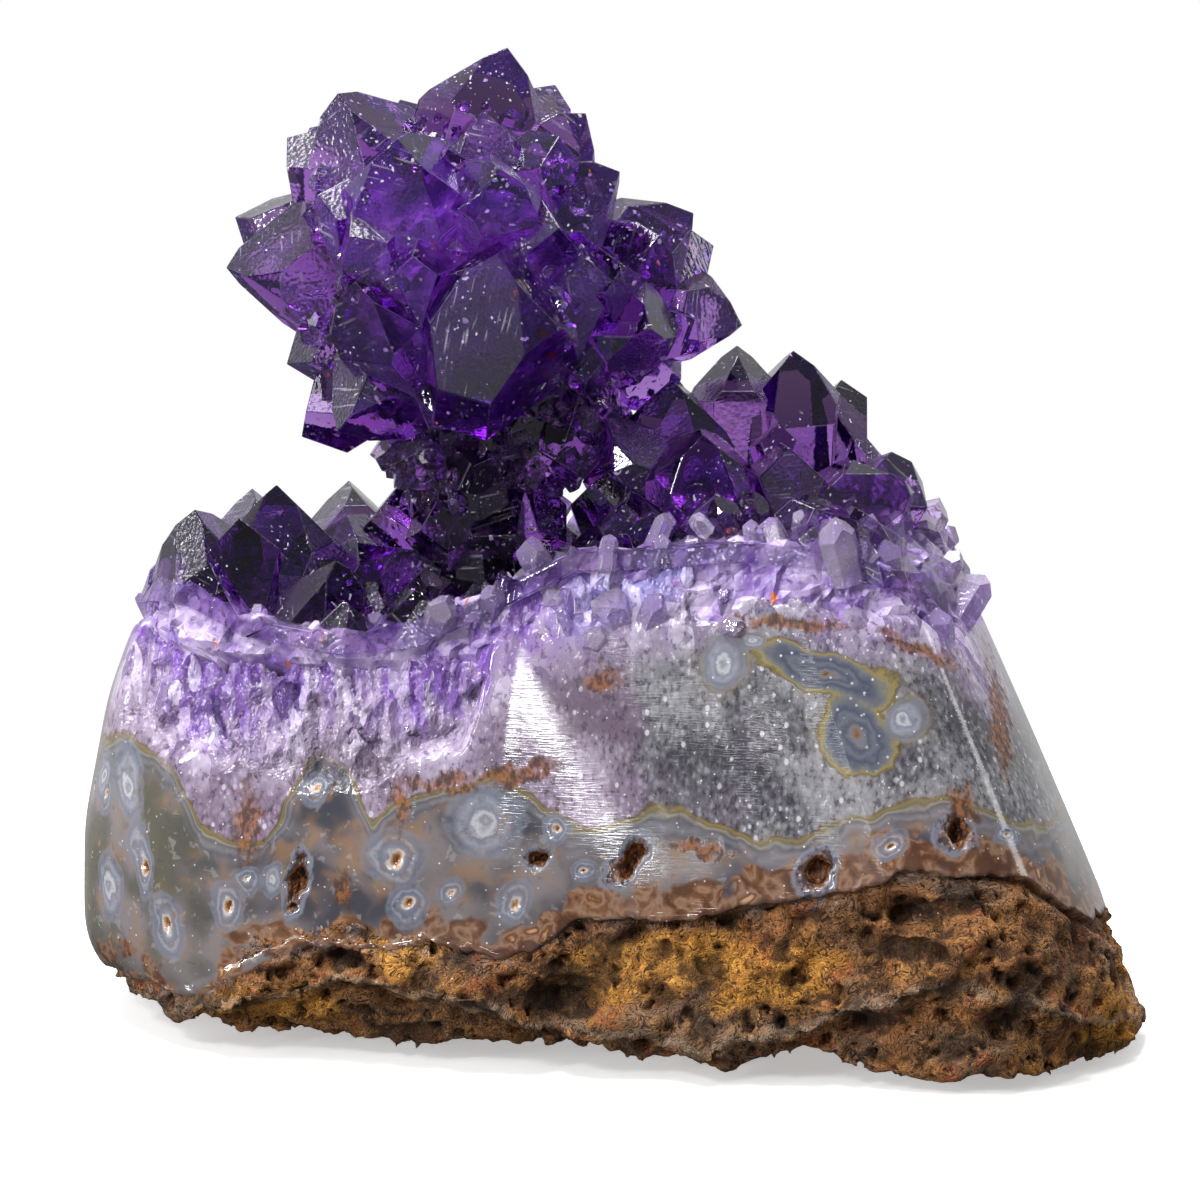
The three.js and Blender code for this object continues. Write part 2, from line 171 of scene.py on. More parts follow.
class Finish(Nodes):
    """The shader nodes of one material, or of the world."""

    def __init__(self, name, world=False):
        self.owner = (bpy.data.worlds if world else bpy.data.materials).new(name)
        self.owner.use_nodes = True
        super().__init__(self.owner.node_tree)
        self.output = self.add("ShaderNodeOutputWorld" if world else "ShaderNodeOutputMaterial")

    def maths(self, operation, *operands):
        node = self.add("ShaderNodeMath", {"operation": operation}, dict(enumerate(operands)))
        return Number(self, node.outputs[0])

    def place(self):
        """Where a point is on the object, in millimetres."""
        here = self.add("ShaderNodeTexCoord").outputs["Object"]
        return self.vector("MULTIPLY", here, (1 / MM,) * 3)

    def part(self, vector, axis):
        return Number(self, self.add("ShaderNodeSeparateXYZ", None, {0: vector}).outputs[axis])

    def attribute(self, name):
        return Number(self, self.add("ShaderNodeAttribute", {"attribute_name": name}).outputs["Fac"])

    def attribute_vector(self, name):
        return self.add("ShaderNodeAttribute", {"attribute_name": name}).outputs["Vector"]

    def noise(self, place, size, detail=2.0, rough=0.5, bend=0.0):
        """Soft noise about 0.5, with lumps of a size in millimetres."""
        sockets = {
            "Vector": place, "Scale": 1 / size, "Detail": detail, "Roughness": rough, "Distortion": bend,
        }
        return Number(self, self.add("ShaderNodeTexNoise", None, sockets).outputs["Fac"])

    def cells(self, place, size):
        """Cells of a size in millimetres: the distance to each one's centre, and a colour of its own."""
        node = self.add("ShaderNodeTexVoronoi", {"feature": "F1"}, {"Vector": place, "Scale": 1 / size})
        return Number(self, node.outputs["Distance"]), node.outputs["Color"]

    def bent(self, place, size, reach):
        """The place moved about by noise, so that a pattern on it runs unevenly."""
        node = self.add("ShaderNodeTexNoise", None, {"Vector": place, "Scale": 1 / size, "Detail": 1.0})
        about = self.vector("SUBTRACT", node.outputs["Color"], (0.5,) * 3)
        return self.vector("ADD", place, self.vector("MULTIPLY", about, (2 * reach,) * 3))

    def blend(self, under, over, share):
        """A colour laid over another by a share from 0 to 1."""
        return self.add("ShaderNodeMix", {"data_type": "RGBA"}, {0: share, 6: under, 7: over}).outputs[2]

    def ramp(self, share, stops):
        """A colour that runs through stops, each a position from 0 to 1 and a colour."""
        return self.add("ShaderNodeValToRGB", {"stops": stops}, {0: share}).outputs["Color"]

    def relief(self, height, depth, below=None):
        """A Bump whose height of 1 stands depth millimetres proud, over another Bump's normal."""
        sockets = {"Height": height, "Distance": depth * MM, "Strength": 1.0}
        if below is not None:
            sockets["Normal"] = below
        return self.add("ShaderNodeBump", None, sockets).outputs["Normal"]

    def surface(self, **sockets):
        """A Principled surface; a socket's spaces are written as underscores."""
        named = {name.replace("_", " "): value for name, value in sockets.items()}
        return self.add("ShaderNodeBsdfPrincipled", None, named).outputs[0]

    def layered(self, under, over, share):
        return self.add("ShaderNodeMixShader", None, {0: share, 1: under, 2: over}).outputs[0]

    def done(self, surface, volume=None):
        self.feed(self.output.inputs["Surface"], surface)
        if volume is not None:
            self.feed(self.output.inputs["Volume"], volume)
        return self.owner


# ---- Mesh tools ----------------------------------------------------------------------------------


def linked(name, mesh):
    piece = bpy.data.objects.new(name, mesh)
    bpy.context.scene.collection.objects.link(piece)
    return piece


def mesh_of(shape, name):
    mesh = bpy.data.meshes.new(name)
    shape.to_mesh(mesh)
    shape.free()
    return mesh


def merged_copy(*nodes):
    """Frame nodes' meshes in one bmesh, their loose triangles joined along shared edges."""
    shape = bmesh.new()
    for node in nodes:
        shape.from_mesh(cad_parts[node].data)
    bmesh.ops.remove_doubles(shape, verts=shape.verts, dist=SAME_POINT)
    return shape


def read(items, name, width, kind=float):
    """One property of every item of a mesh: a list, or a table where it has several parts."""
    flat = np.empty(len(items) * width, kind)
    items.foreach_get(name, flat)
    return flat if width == 1 else flat.reshape(-1, width)


def corners(mesh):
    return read(mesh.vertices, "co", 3)


def move_corners(mesh, places):
    mesh.vertices.foreach_set("co", np.asarray(places, np.float32).ravel())
    mesh.update()


def vertex_normals(mesh):
    return read(mesh.vertex_normals, "vector", 3)


def store(mesh, name, values, domain="POINT", kind="FLOAT"):
    layer = mesh.attributes.new(name, kind, domain)
    field = "vector" if kind == "FLOAT_VECTOR" else "value"
    layer.data.foreach_set(field, np.asarray(values, np.float32).ravel())


def remeshed(piece, voxel, smooth):
    """The piece with an even skin of small faces, softened a number of times."""
    remesh = piece.modifiers.new("remesh", "REMESH")
    remesh.mode = "VOXEL"
    remesh.voxel_size = voxel
    soften = piece.modifiers.new("soften", "SMOOTH")
    soften.iterations = smooth
    return plain(piece)


def plain(piece):
    """The piece with its modifiers made real."""
    graph = bpy.context.evaluated_depsgraph_get()
    graph.update()
    made = bpy.data.meshes.new_from_object(piece.evaluated_get(graph))
    piece.modifiers.clear()
    old = piece.data
    piece.data = made
    bpy.data.meshes.remove(old)
    return piece


def smooth_shaded(mesh):
    mesh.polygons.foreach_set("use_smooth", [True] * len(mesh.polygons))


def finished(piece, material, nodes=()):
    """Gives a piece its material and its place in the frame."""
    piece.data.materials.clear()
    piece.data.materials.append(material)
    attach(piece, BODY)
    if nodes:
        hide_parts(*nodes)
    return piece


def noise_at(places, size, octaves=3, seed=0):
    """Fractal noise, about -1 to 1, at each place; size in metres is its largest lump."""
    shift = Vector((seed * 7.31, seed * 3.17, seed * 5.93))
    return np.array([noise.fractal(Vector(p) / size + shift, 1.0, 2.0, octaves) for p in places])


# ---- The block's outline ---------------------------------------------------------------------------

COLUMNS = 720               # round the block
LEVEL = 0.5 * MM            # between two samples, going up
LEVELS = np.arange(1 * MM, 64 * MM, LEVEL)
FAR = 0.2                   # a place well outside the block
RIM_FALL = 0.7 * MM         # a column that falls in by more than this at one level has left the flank
LOWEST_RIM = 40 * MM        # no part of the rim is lower
OUTLINE = 28 * MM           # the height at which the way round the block is measured
TOUCHING = 0.05 * MM        # rock that falls short of the wall by less than this is the outer surface
SLOPE_STEPS = 20            # levels over which the flank's slope below the rim is taken
RIM_STEPS = 2               # levels left out next to the rim


def rounded(grid, spread, axis=0, wrap=True):
    """The grid softened along one axis by a bell of that many steps."""
    reach = int(3 * spread) + 1
    bell = np.exp(-0.5 * (np.arange(-reach, reach + 1) / spread) ** 2)
    bell /= bell.sum()
    total = np.zeros_like(grid)
    for step, share in zip(range(-reach, reach + 1), bell):
        at = np.arange(grid.shape[axis]) + step
        at = at % grid.shape[axis] if wrap else np.clip(at, 0, grid.shape[axis] - 1)
        total += share * np.take(grid, at, axis)
    return total


class Flank:
    """The block's outer surface, sampled round and up from the frame and made smooth."""

    def __init__(self):
        rock = BVHTree.FromBMesh(merged_copy("host_rock"))
        wall = BVHTree.FromBMesh(merged_copy("geode_wall"))
        turns = np.linspace(-math.pi, math.pi, 4 * COLUMNS, endpoint=False)
        radii = np.array([self.radius(wall, turn, OUTLINE) for turn in turns])
        outline = np.stack([radii * np.cos(turns), radii * np.sin(turns)], 1)
        steps = np.linalg.norm(outline - np.roll(outline, 1, 0), axis=1)
        run = np.cumsum(steps)
        self.round = run[-1]
        self.turns = np.interp(np.arange(COLUMNS) * self.round / COLUMNS + steps[0], run, turns)
        self.ways = np.stack([np.cos(self.turns), np.sin(self.turns)], 1)
        rocky = np.array([[self.radius(rock, turn, level) for level in LEVELS] for turn in self.turns])
        agate = np.array([[self.radius(wall, turn, level) for level in LEVELS] for turn in self.turns])
        outer = np.fmax(rocky, agate)
        below = LEVELS[None, :] < LOWEST_RIM
        falls = np.diff(outer, axis=1, prepend=outer[:, :1]) < -RIM_FALL
        off = (falls | np.isnan(outer)) & ~below
        top = np.where(off.any(1), off.argmax(1), len(LEVELS)) - 1
        stony = rocky >= np.fmax(agate, 0) - TOUCHING
        bottom = (stony & below).cumsum(1).argmax(1)
        self.rim = rounded(LEVELS[top], 2)
        self.rock_edge = rounded(LEVELS[bottom], 3)
        for column, last in zip(outer, top):
            start = last - RIM_STEPS
            slope = (column[start] - column[start - SLOPE_STEPS]) / SLOPE_STEPS
            above = np.arange(start + 1, len(column))
            column[above] = column[start] + slope * (above - start)
        self.grid = rounded(rounded(outer, 7), 4, axis=1, wrap=False)

    @staticmethod
    def radius(tree, turn, level):
        way = Vector((math.cos(turn), math.sin(turn), 0))
        hit = tree.ray_cast(way * FAR + Vector((0, 0, level)), -way)[0]
        return math.nan if hit is None or hit.dot(way) < 0 else hit.to_2d().length

    def at_level(self, levels):
        """The radius of each column at its own level."""
        at = np.clip((levels - LEVELS[0]) / LEVEL, 0, len(LEVELS) - 1.001)
        low = at.astype(int)
        share = at - low
        columns = np.arange(COLUMNS)
        return self.grid[columns, low] * (1 - share) + self.grid[columns, low + 1] * share


# ---- Polished wall -----------------------------------------------------------------------------------


class WallSettings(bpy.types.PropertyGroup):
    """The sawn and polished wall: agate below, quartz above it, and a lilac band at the top."""

    depth: FloatProperty(
        name="Depth", description="How deep the polished band goes in", default=5.8 * MM, unit="LENGTH"
    )
    rows: IntProperty(name="Rows", description="Steps from the foot to the rim", default=96)
    overlap: FloatProperty(
        name="Overlap", description="How far it passes its neighbours' edges, unseen", default=0.5 * MM,
        unit="LENGTH",
    )
    polish: FloatProperty(name="Polish", description="Roughness of the polish", default=0.055)


# Heights of the band's borders along the front and the back, in millimetres: (x, z)
AGATE_FRONT = [
    (-60, 33), (-54, 34.5), (-49, 33), (-45.5, 26), (-41, 25.5), (-38.5, 24.8), (-35.4, 30.2), (-32.6, 35.4),
    (-29.3, 33.8), (-27.6, 30.6), (-26.3, 27.8), (-23.2, 30.7), (-17.7, 31.8), (-12.2, 33.4), (-8.9, 32),
    (-4.5, 27.8), (-1.2, 28.4), (4.3, 30.7), (9.7, 29.8), (16.2, 27), (20.6, 27.8), (27, 30.4), (31.4, 32),
    (37, 32), (42.6, 29.8), (47, 27), (60, 27),
]
AGATE_BACK = [
    (-60, 33), (-50, 29), (-38, 34), (-26, 27), (-12, 32), (2, 27), (16, 34), (30, 31), (44, 33), (60, 27),
]
LILAC_FRONT = [
    (-60, 39), (-55, 38), (-45.5, 31.6), (-34, 35.6), (-17.7, 34.5), (-10, 41.5), (-1.2, 46.5), (8, 49.5),
    (20, 50.5), (31.6, 48.5), (43, 41), (60, 40),
]
LILAC_BACK = [(-60, 39), (-45, 41), (-30, 38), (-12, 42), (5, 40), (20, 44), (38, 41), (60, 40)]

# Agate eyes on the front, in millimetres: (x, z, half width, half height, lean in degrees, kind).
# Kind 1 has a brown core in a pale ring, 2 is pale to the middle, 3 is a blue-grey lens, 4 is hollow.
FRONT_EYES = [
    (-54.2, 29.4, 2.0, 4.6, 8, 2), (-52.4, 21.1, 1.6, 5.0, 4, 1), (-56.6, 17.4, 1.4, 4.6, 0, 2),
    (-49.6, 14.7, 2.1, 3.6, 5, 1), (-42.6, 17.2, 1.9, 3.0, 8, 1), (-40.6, 20.4, 1.6, 1.9, 20, 1),
    (-37.6, 20.9, 1.3, 1.9, -10, 2), (-32.8, 31.2, 1.9, 2.5, 0, 1), (-34.9, 21.0, 1.6, 5.2, -7, 4),
    (-23.8, 24.1, 3.4, 3.6, -30, 1), (-22.5, 19.3, 2.4, 2.6, 0, 1), (-13.9, 28.3, 4.6, 4.0, 20, 2),
    (-6.0, 27.9, 1.9, 1.9, 0, 1), (-8.1, 24.9, 2.6, 1.3, 15, 4), (-2.4, 23.2, 1.5, 1.4, 0, 1),
    (1.7, 24.6, 1.7, 4.0, -38, 4), (12.2, 45.9, 3.1, 2.7, 10, 2), (15.4, 48.4, 1.6, 1.2, 0, 2),
    (23.4, 45.2, 8.6, 2.7, -17, 3), (26.8, 38.7, 4.7, 4.1, -15, 3), (32.6, 40.2, 2.3, 2.7, -25, 2),
    (22.5, 24.4, 3.6, 2.3, 42, 4), (-17.6, 20.6, 1.7, 1.5, 0, 1), (-10.6, 19.8, 2.0, 2.6, -30, 1),
    (37.5, 28.4, 2.6, 1.8, 10, 4), (30.5, 27.6, 2.2, 1.7, 0, 1), (43.5, 27.0, 2.0, 1.4, 0, 1),
]
MORE_EYES = 44              # strewn round the sides and the back, where the front list has none
HOLLOW = 4

# Rust stains on the front: (x, z, half width, half height, lean)
RUST = [
    (-40.2, 27.2, 1.8, 4.6, 0), (-10.5, 33.6, 5.2, 1.2, 12), (-18.5, 32.4, 4.8, 1.0, 4),
    (-23.2, 30.0, 1.2, 2.6, 0), (-1.2, 43.8, 2.2, 1.6, 20), (9.6, 26.2, 4.2, 0.7, -8),
    (38.2, 30.4, 1.6, 3.4, 0), (43.0, 38.0, 1.4, 6.0, 8), (-29.6, 20.5, 1.3, 2.2, 0),
    (-54.5, 10.5, 1.4, 1.2, 0), (19.5, 50.2, 7.5, 0.7, 0), (34.0, 47.0, 6.0, 0.8, -28),
]

# The soft ridge down the front, in millimetres (z, x)
RIDGE = [(18, 2.5), (27.8, -2.3), (41.6, -7.2), (52, -12.7)]
RIDGE_WIDTH = 2.2           # over how many millimetres it turns
RIDGE_TURN = 0.06           # how much the face falls back with each millimetre to its left
RIDGE_REACH = 24            # where the face left of it runs level again


def height_along(front, back, places):
    """The height of a border at each place, from its two lists."""
    x, y = places[..., 0] / MM, places[..., 1] / MM
    ahead = np.interp(x, *zip(*front))
    behind = np.interp(x, *zip(*back))
    share = np.clip((y + 6) / 12, 0, 1)
    return (ahead * (1 - share) + behind * share) * MM


def oval(spot, run, height):
    """Distance from a leaning oval's middle, 1 at its edge."""
    x, z, wide, tall, lean = spot[:5]
    turn = math.radians(lean)
    dx, dz = run / MM - x, height / MM - z
    u = (dx * math.cos(turn) + dz * math.sin(turn)) / wide
    v = (dz * math.cos(turn) - dx * math.sin(turn)) / tall
    return np.hypot(u, v)


def strewn_eyes(stream, flank):
    """Eyes round the sides and the back, where the front list has none, as (run, eye)."""
    eyes = []
    while len(eyes) < MORE_EYES:
        at = stream.uniform(0, 1)
        way = flank.ways[int(at * COLUMNS)]
        tall = stream.uniform(1.4, 4.2)
        eye = (
            0, stream.uniform(12, 31), tall * stream.uniform(0.5, 1.0), tall, stream.uniform(-20, 20),
            stream.choice((1, 1, 2, 2, 3, HOLLOW)),
        )
        if way[1] > -0.12:
            eyes.append((at * flank.round, eye))
    return eyes


def nearest_eye(places, run, flank):
    """For each place: how far out of the nearest eye it is, that eye's size in mm, and its kind."""
    warp = np.array([
        noise.noise_vector(p / (4.5 * MM)) * 1.0 + noise.noise_vector(p / (1.3 * MM)) * 0.28
        for p in map(Vector, places)
    ]) * MM
    height = places[:, 2] + warp[:, 2]
    far = np.full(len(places), 9.0)
    size = np.ones(len(places))
    kind = np.zeros(len(places))

    def lay(eye, across):
        away = oval(eye, across + warp[:, 0], height)
        closer = away < far
        far[closer] = away[closer]
        size[closer] = math.sqrt(eye[2] * eye[3])
        kind[closer] = eye[5]

    along_front = np.where(places[:, 1] < -4 * MM, places[:, 0], FAR)
    for eye in FRONT_EYES:
        lay(eye, along_front)
    for middle, eye in strewn_eyes(random.Random(12), flank):
        lay(eye, (run - middle + flank.round / 2) % flank.round - flank.round / 2)
    return far, size, kind


def chipped(places, cell, lean=0.42):
    """Flat-faced breaks, 0 to 1 deep: each cell of space, drawn out upward, has a plane of its own."""
    depth = np.empty(len(places))
    for i, (x, y, z) in enumerate(places):
        here = Vector((x, y, z * lean)) / cell
        nearest = noise.voronoi(here)[1][0]
        way = noise.cell_vector(nearest * 17.3) * 2 - Vector((1, 1, 1))
        depth[i] = 0.5 + (here - nearest).dot(way) * 0.9
    return np.clip(depth, 0, 1)


def soft_least(one, other, reach):
    """The lesser of two distances, rounded where they meet."""
    share = np.clip(0.5 + 0.5 * (other - one) / reach, 0, 1)
    return other * (1 - share) + one * share - reach * share * (1 - share)


def smooth_step(values, low, high):
    share = np.clip((values - low) / (high - low), 0, 1)
    return share * share * (3 - 2 * share)


def ridge_fall(places):
    """How far the front falls back to the left of the soft ridge that runs down it."""
    x, y, z = np.moveaxis(places, -1, 0) / MM
    left = np.interp(z, *zip(*RIDGE)) - x
    bends = [np.logaddexp(0, (left - start) / RIDGE_WIDTH) * RIDGE_WIDTH for start in (0, RIDGE_REACH)]
    return (bends[0] - bends[1]) * RIDGE_TURN * smooth_step(-y, 3, 12) * MM


def band_mesh(flank, settings):
    """The polished band as a closed ring: its fine outer face, then round behind, out of sight."""
    sole = np.column_stack([flank.ways * flank.at_level(flank.rock_edge)[:, None], flank.rock_edge])
    ragged = noise_at(sole, 5 * MM, 3, seed=4) * 1.1 * MM + noise_at(sole, 1.4 * MM, 2, seed=5) * 0.35 * MM
    foot = flank.rock_edge + ragged
    top = flank.rim + settings.overlap
    shares = np.linspace(0, 1, settings.rows)
    levels = foot[:, None] + shares[None, :] * (top - foot)[:, None]
    radii = np.stack([flank.at_level(levels[:, i]) for i in range(settings.rows)], 1)
    outer = np.concatenate([flank.ways[:, None, :] * radii[..., None], levels[..., None]], 2)
    outer[..., 1] += ridge_fall(outer)
    across = np.roll(outer, -1, 0) - np.roll(outer, 1, 0)
    up = np.gradient(outer, axis=1)
    normals = np.cross(across, up)
    normals /= np.linalg.norm(normals, axis=2, keepdims=True)
    places = outer.reshape(-1, 3)
    run = np.repeat(np.arange(COLUMNS) * flank.round / COLUMNS, settings.rows)

    far, size, kind = nearest_eye(places, run, flank)
    x, y, z = places.T
    over_agate = z - height_along(AGATE_FRONT, AGATE_BACK, places) + noise_at(places, 4 * MM, 3, 7) * 0.9 * MM
    over_lilac = z - height_along(LILAC_FRONT, LILAC_BACK, places) + noise_at(places, 9 * MM, 3, 8) * 2.4 * MM
    over_rock = z - np.repeat(foot, settings.rows)
    under_rim = np.repeat(top, settings.rows) - z
    rust = np.full(len(places), 9.0)
    bent = noise_at(places, 2.2 * MM, 3, 9) * 0.9 * MM
    for stain in RUST:
        rust = np.minimum(rust, np.where(y < -2 * MM, oval(stain, x + bent, z - bent), 9.0))

    left = smooth_step(-x, 12 * MM, 17 * MM) * smooth_step(-y, 2 * MM, 8 * MM)
    ragged_rim = noise_at(places, 6 * MM, 2, 10) * 3 * MM
    reach = 2.5 * MM + 9.5 * MM * left + ragged_rim
    broken = 1 - smooth_step(under_rim, reach, reach + 3.0 * MM)
    pores = noise_at(places, 1.5 * MM, 3, 11)
    hollow = np.where(kind == HOLLOW, 1 - smooth_step(far + pores * 0.35, 0.25, 0.62), 0)
    core = np.where(kind == 1, 1 - smooth_step(far, 0.10, 0.22), 0)
    dent = (
        (chipped(places, 4.2 * MM) * (1.6 + left * 0.4) + chipped(places, 1.9 * MM) * 0.8) * broken * MM
        + hollow * (2.4 + 0.8 * pores) * MM
        + core * (1 - broken) * 0.5 * MM
    )
    outer = (places - normals.reshape(-1, 3) * dent[:, None]).reshape(outer.shape)

    hidden = (
        (settings.depth, top),
        (settings.depth + 1.4 * MM, (top + foot) / 2),
        (settings.depth, foot - 1.2 * MM),
        (2.5 * MM, foot - 1.2 * MM),
        (0.8 * MM, foot - 0.2 * MM),
    )
    behind = []
    for inward, level in hidden:
        radius = flank.at_level(level) - inward
        behind.append(np.column_stack([flank.ways * radius[:, None], level]))
    rings = np.concatenate([outer, np.stack(behind, 1)], 1)
    count = rings.shape[1]
    column, row = np.meshgrid(np.arange(COLUMNS), np.arange(count), indexing="ij")
    beyond, above = (column + 1) % COLUMNS, (row + 1) % count
    quads = np.stack([
        column * count + row, beyond * count + row, beyond * count + above, column * count + above,
    ], -1).reshape(-1, 4)
    mesh = bpy.data.meshes.new("polished_wall")
    mesh.from_pydata(rings.reshape(-1, 3).tolist(), [], quads.tolist())
    smooth_shaded(mesh)

    marks = {
        "eye": far,
        "eye_kind": kind,
        "over_agate": soft_least(over_agate / MM, (far - 1) * size, 1.6),
        "over_lilac": over_lilac / MM,
        "over_rock": over_rock / MM,
        "rust": rust,
        "broken": broken,
        "hollow": hollow,
    }
    for name, values in marks.items():
        grid = values.reshape(COLUMNS, settings.rows)
        unseen = grid[:, [-1, -1, 0, 0, 0]]     # each hidden ring takes the value of the edge nearest to it
        store(mesh, name, np.concatenate([grid, unseen], 1))
    return mesh


def agate_colour(finish, place, bent, cloud, uneven):
    """Blue-grey agate in soft clouds, finely banded along its olive border, brown towards the rock."""
    over = finish.attribute("over_agate")
    grey = finish.blend(linear(70, 69, 77), linear(128, 120, 121), cloud.rise(0.34, 0.66))
    grey = finish.blend(grey, linear(150, 116, 84), uneven.rise(0.44, 0.70) * 0.6)
    x = finish.part(place, 0)
    grey = finish.blend(grey, linear(96, 94, 80), x.rise(-38.0, -52.0) * cloud.rise(0.62, 0.42) * 0.8)
    inside = (0.0 - over + uneven * 1.4 - 0.7).most(0.0)
    bands = finish.ramp(inside * 0.2, [
        (0.00, linear(99, 79, 42)), (0.05, linear(139, 120, 69)), (0.11, linear(113, 105, 77)),
        (0.16, linear(148, 143, 133)), (0.22, linear(95, 96, 102)), (0.34, linear(132, 132, 141)),
        (0.46, linear(88, 91, 104)), (0.60, linear(127, 127, 138)), (0.80, linear(99, 101, 114)),
    ])
    grey = finish.blend(grey, bands, inside.rise(4.0, 0.6) * (uneven * 0.8 + 0.35).least(0.9))
    wisps = finish.noise(bent, 1.6, 2.0, 0.62)
    grey = finish.blend(grey, linear(180, 176, 178), wisps.rise(0.60, 0.70) * 0.30)
    grey = finish.blend(grey, linear(66, 70, 84), wisps.rise(0.46, 0.28) * 0.35)
    near_rock = finish.attribute("over_rock").rise(7.5, 0.4)
    leftward = x.rise(-12.0, -26.0)
    brown = (uneven * 0.9 + near_rock * 0.55 - leftward * 0.16).rise(0.72, 0.84) * near_rock.rise(0.0, 0.5)
    buds = finish.cells(bent, 2.6)[0] + (wisps - 0.5) * 1.1
    umber = finish.ramp(buds, [
        (0.00, linear(196, 158, 122)), (0.10, linear(158, 106, 64)), (0.20, linear(96, 56, 32)),
        (0.32, linear(132, 96, 72)), (0.44, linear(150, 118, 96)), (0.58, linear(116, 76, 48)),
        (0.74, linear(84, 50, 32)),
    ])
    return finish.blend(grey, umber, brown * 0.85)


def eye_colours(finish, rough, crumbs, ground):
    """Soft broken rings round each eye: a brown or a pale core, a white ring, then grey bands."""
    eye = finish.attribute("eye")
    kind = finish.attribute("eye_kind")
    uneven = eye + (rough - 0.5) * 0.34
    brown = finish.ramp(uneven, [
        (0.00, linear(84, 46, 22)), (0.10, linear(124, 76, 40)), (0.17, linear(184, 140, 100)),
        (0.25, linear(206, 196, 188)), (0.34, linear(142, 144, 158)), (0.50, linear(112, 118, 136)),
        (0.62, linear(158, 160, 172)), (0.74, linear(114, 120, 138)), (1.00, linear(128, 130, 142)),
    ])
    pale = finish.ramp(uneven, [
        (0.00, linear(166, 160, 158)), (0.12, linear(134, 136, 148)), (0.26, linear(190, 190, 196)),
        (0.38, linear(130, 136, 154)), (0.56, linear(156, 160, 174)), (0.75, linear(112, 118, 138)),
        (1.00, linear(132, 134, 144)),
    ])
    lens = finish.ramp(uneven, [
        (0.00, linear(94, 58, 32)), (0.09, linear(126, 100, 80)), (0.17, linear(116, 116, 126)),
        (0.30, linear(76, 82, 98)), (0.44, linear(104, 108, 120)), (0.58, linear(72, 78, 96)),
        (0.74, linear(98, 102, 114)), (0.84, linear(120, 118, 108)), (0.92, linear(146, 130, 80)),
        (1.00, linear(84, 78, 58)),
    ])
    rings = finish.blend(brown, pale, kind.rise(1.4, 1.6))
    rings = finish.blend(rings, lens, kind.rise(2.4, 2.6))
    rings = finish.blend(rings, brown, kind.rise(3.4, 3.6))
    broken = (rough * 1.2 + 0.3).rise(0.62, 1.0)
    outer = uneven.rise(1.06, 0.9) * (0.25 + broken * 0.5 + kind.rise(2.4, 2.6) * 0.5)
    colour = finish.blend(ground, rings, uneven.rise(0.46, 0.28).most(outer).least(0.94))
    specks = crumbs.rise(0.20, 0.10) * kind.rise(2.4, 2.6) * kind.rise(3.6, 3.4) * uneven.rise(0.9, 0.7)
    return finish.blend(colour, linear(206, 208, 214), specks * 0.6)


def quartz_colour(finish, place, cloud, grit):
    """Grey quartz above the agate, smoky towards the right, in bright grains with dark between."""
    x = finish.part(place, 0)
    smoke = (x.rise(-6.0, 8.0) * 0.75 + (cloud - 0.5) * 0.9).rise(0.25, 0.75)
    over = finish.attribute("over_agate")
    dark = finish.blend(linear(112, 96, 114), linear(60, 60, 66), smoke)
    dark = finish.blend(dark, linear(120, 100, 84), over.rise(2.2, 0.2) * cloud.rise(0.42, 0.6) * 0.7)
    light = finish.blend(linear(172, 156, 180), linear(152, 152, 158), smoke)
    centre, colour = finish.cells(finish.vector("MULTIPLY", place, (1.0, 1.0, 0.7)), 0.66)
    own = finish.part(colour, 0)
    body = centre.rise(0.70, 0.10)
    low = over.rise(11.0, 1.0)
    share = own * body * 0.45 + cloud.rise(0.40, 0.62) * 0.32 + low * 0.25 + (grit - 0.5) * 0.95
    stone = finish.blend(dark, light, share.rise(0.0, 0.95))
    stone = finish.blend(stone, linear(56, 54, 64), grit.rise(0.44, 0.34) * 0.55)
    glints = own.rise(0.91, 0.96) * body.rise(0.45, 0.75)
    return finish.blend(stone, linear(226, 224, 230), glints.most(grit.rise(0.65, 0.74)) * 0.55)


def lilac_colour(finish, place, bent, grit):
    """The top band: violet quartz in upright streaks, with pale veins and a blue-lilac patch."""
    over = finish.attribute("over_lilac")
    x = finish.part(place, 0)
    upright = finish.vector("MULTIPLY", bent, (1.0, 1.0, 0.34))
    streaks = finish.noise(upright, 1.7, 1.0, 0.62)
    depth = (over * 0.075 + (streaks - 0.5) * 1.5 + x.rise(4.0, 30.0) * 0.16).rise(0.0, 1.0)
    violet = finish.blend(linear(178, 160, 190), linear(132, 90, 184), depth)
    blue = (x - 3.0).size().rise(11.0, 4.0) * over.rise(1.0, 6.0)
    violet = finish.blend(violet, linear(160, 156, 222), blue * 0.8)
    own = finish.part(finish.cells(upright, 1.9)[1], 1)
    violet = finish.blend(violet, linear(74, 40, 112), own.rise(0.45, 0.1) * 0.55)
    violet = finish.blend(violet, linear(232, 220, 246), own.rise(0.66, 0.95) * 0.65)
    violet = finish.blend(violet, linear(56, 28, 92), grit.rise(0.44, 0.34) * 0.5)
    return finish.blend(violet, linear(238, 228, 246), grit.rise(0.60, 0.70) * 0.55)


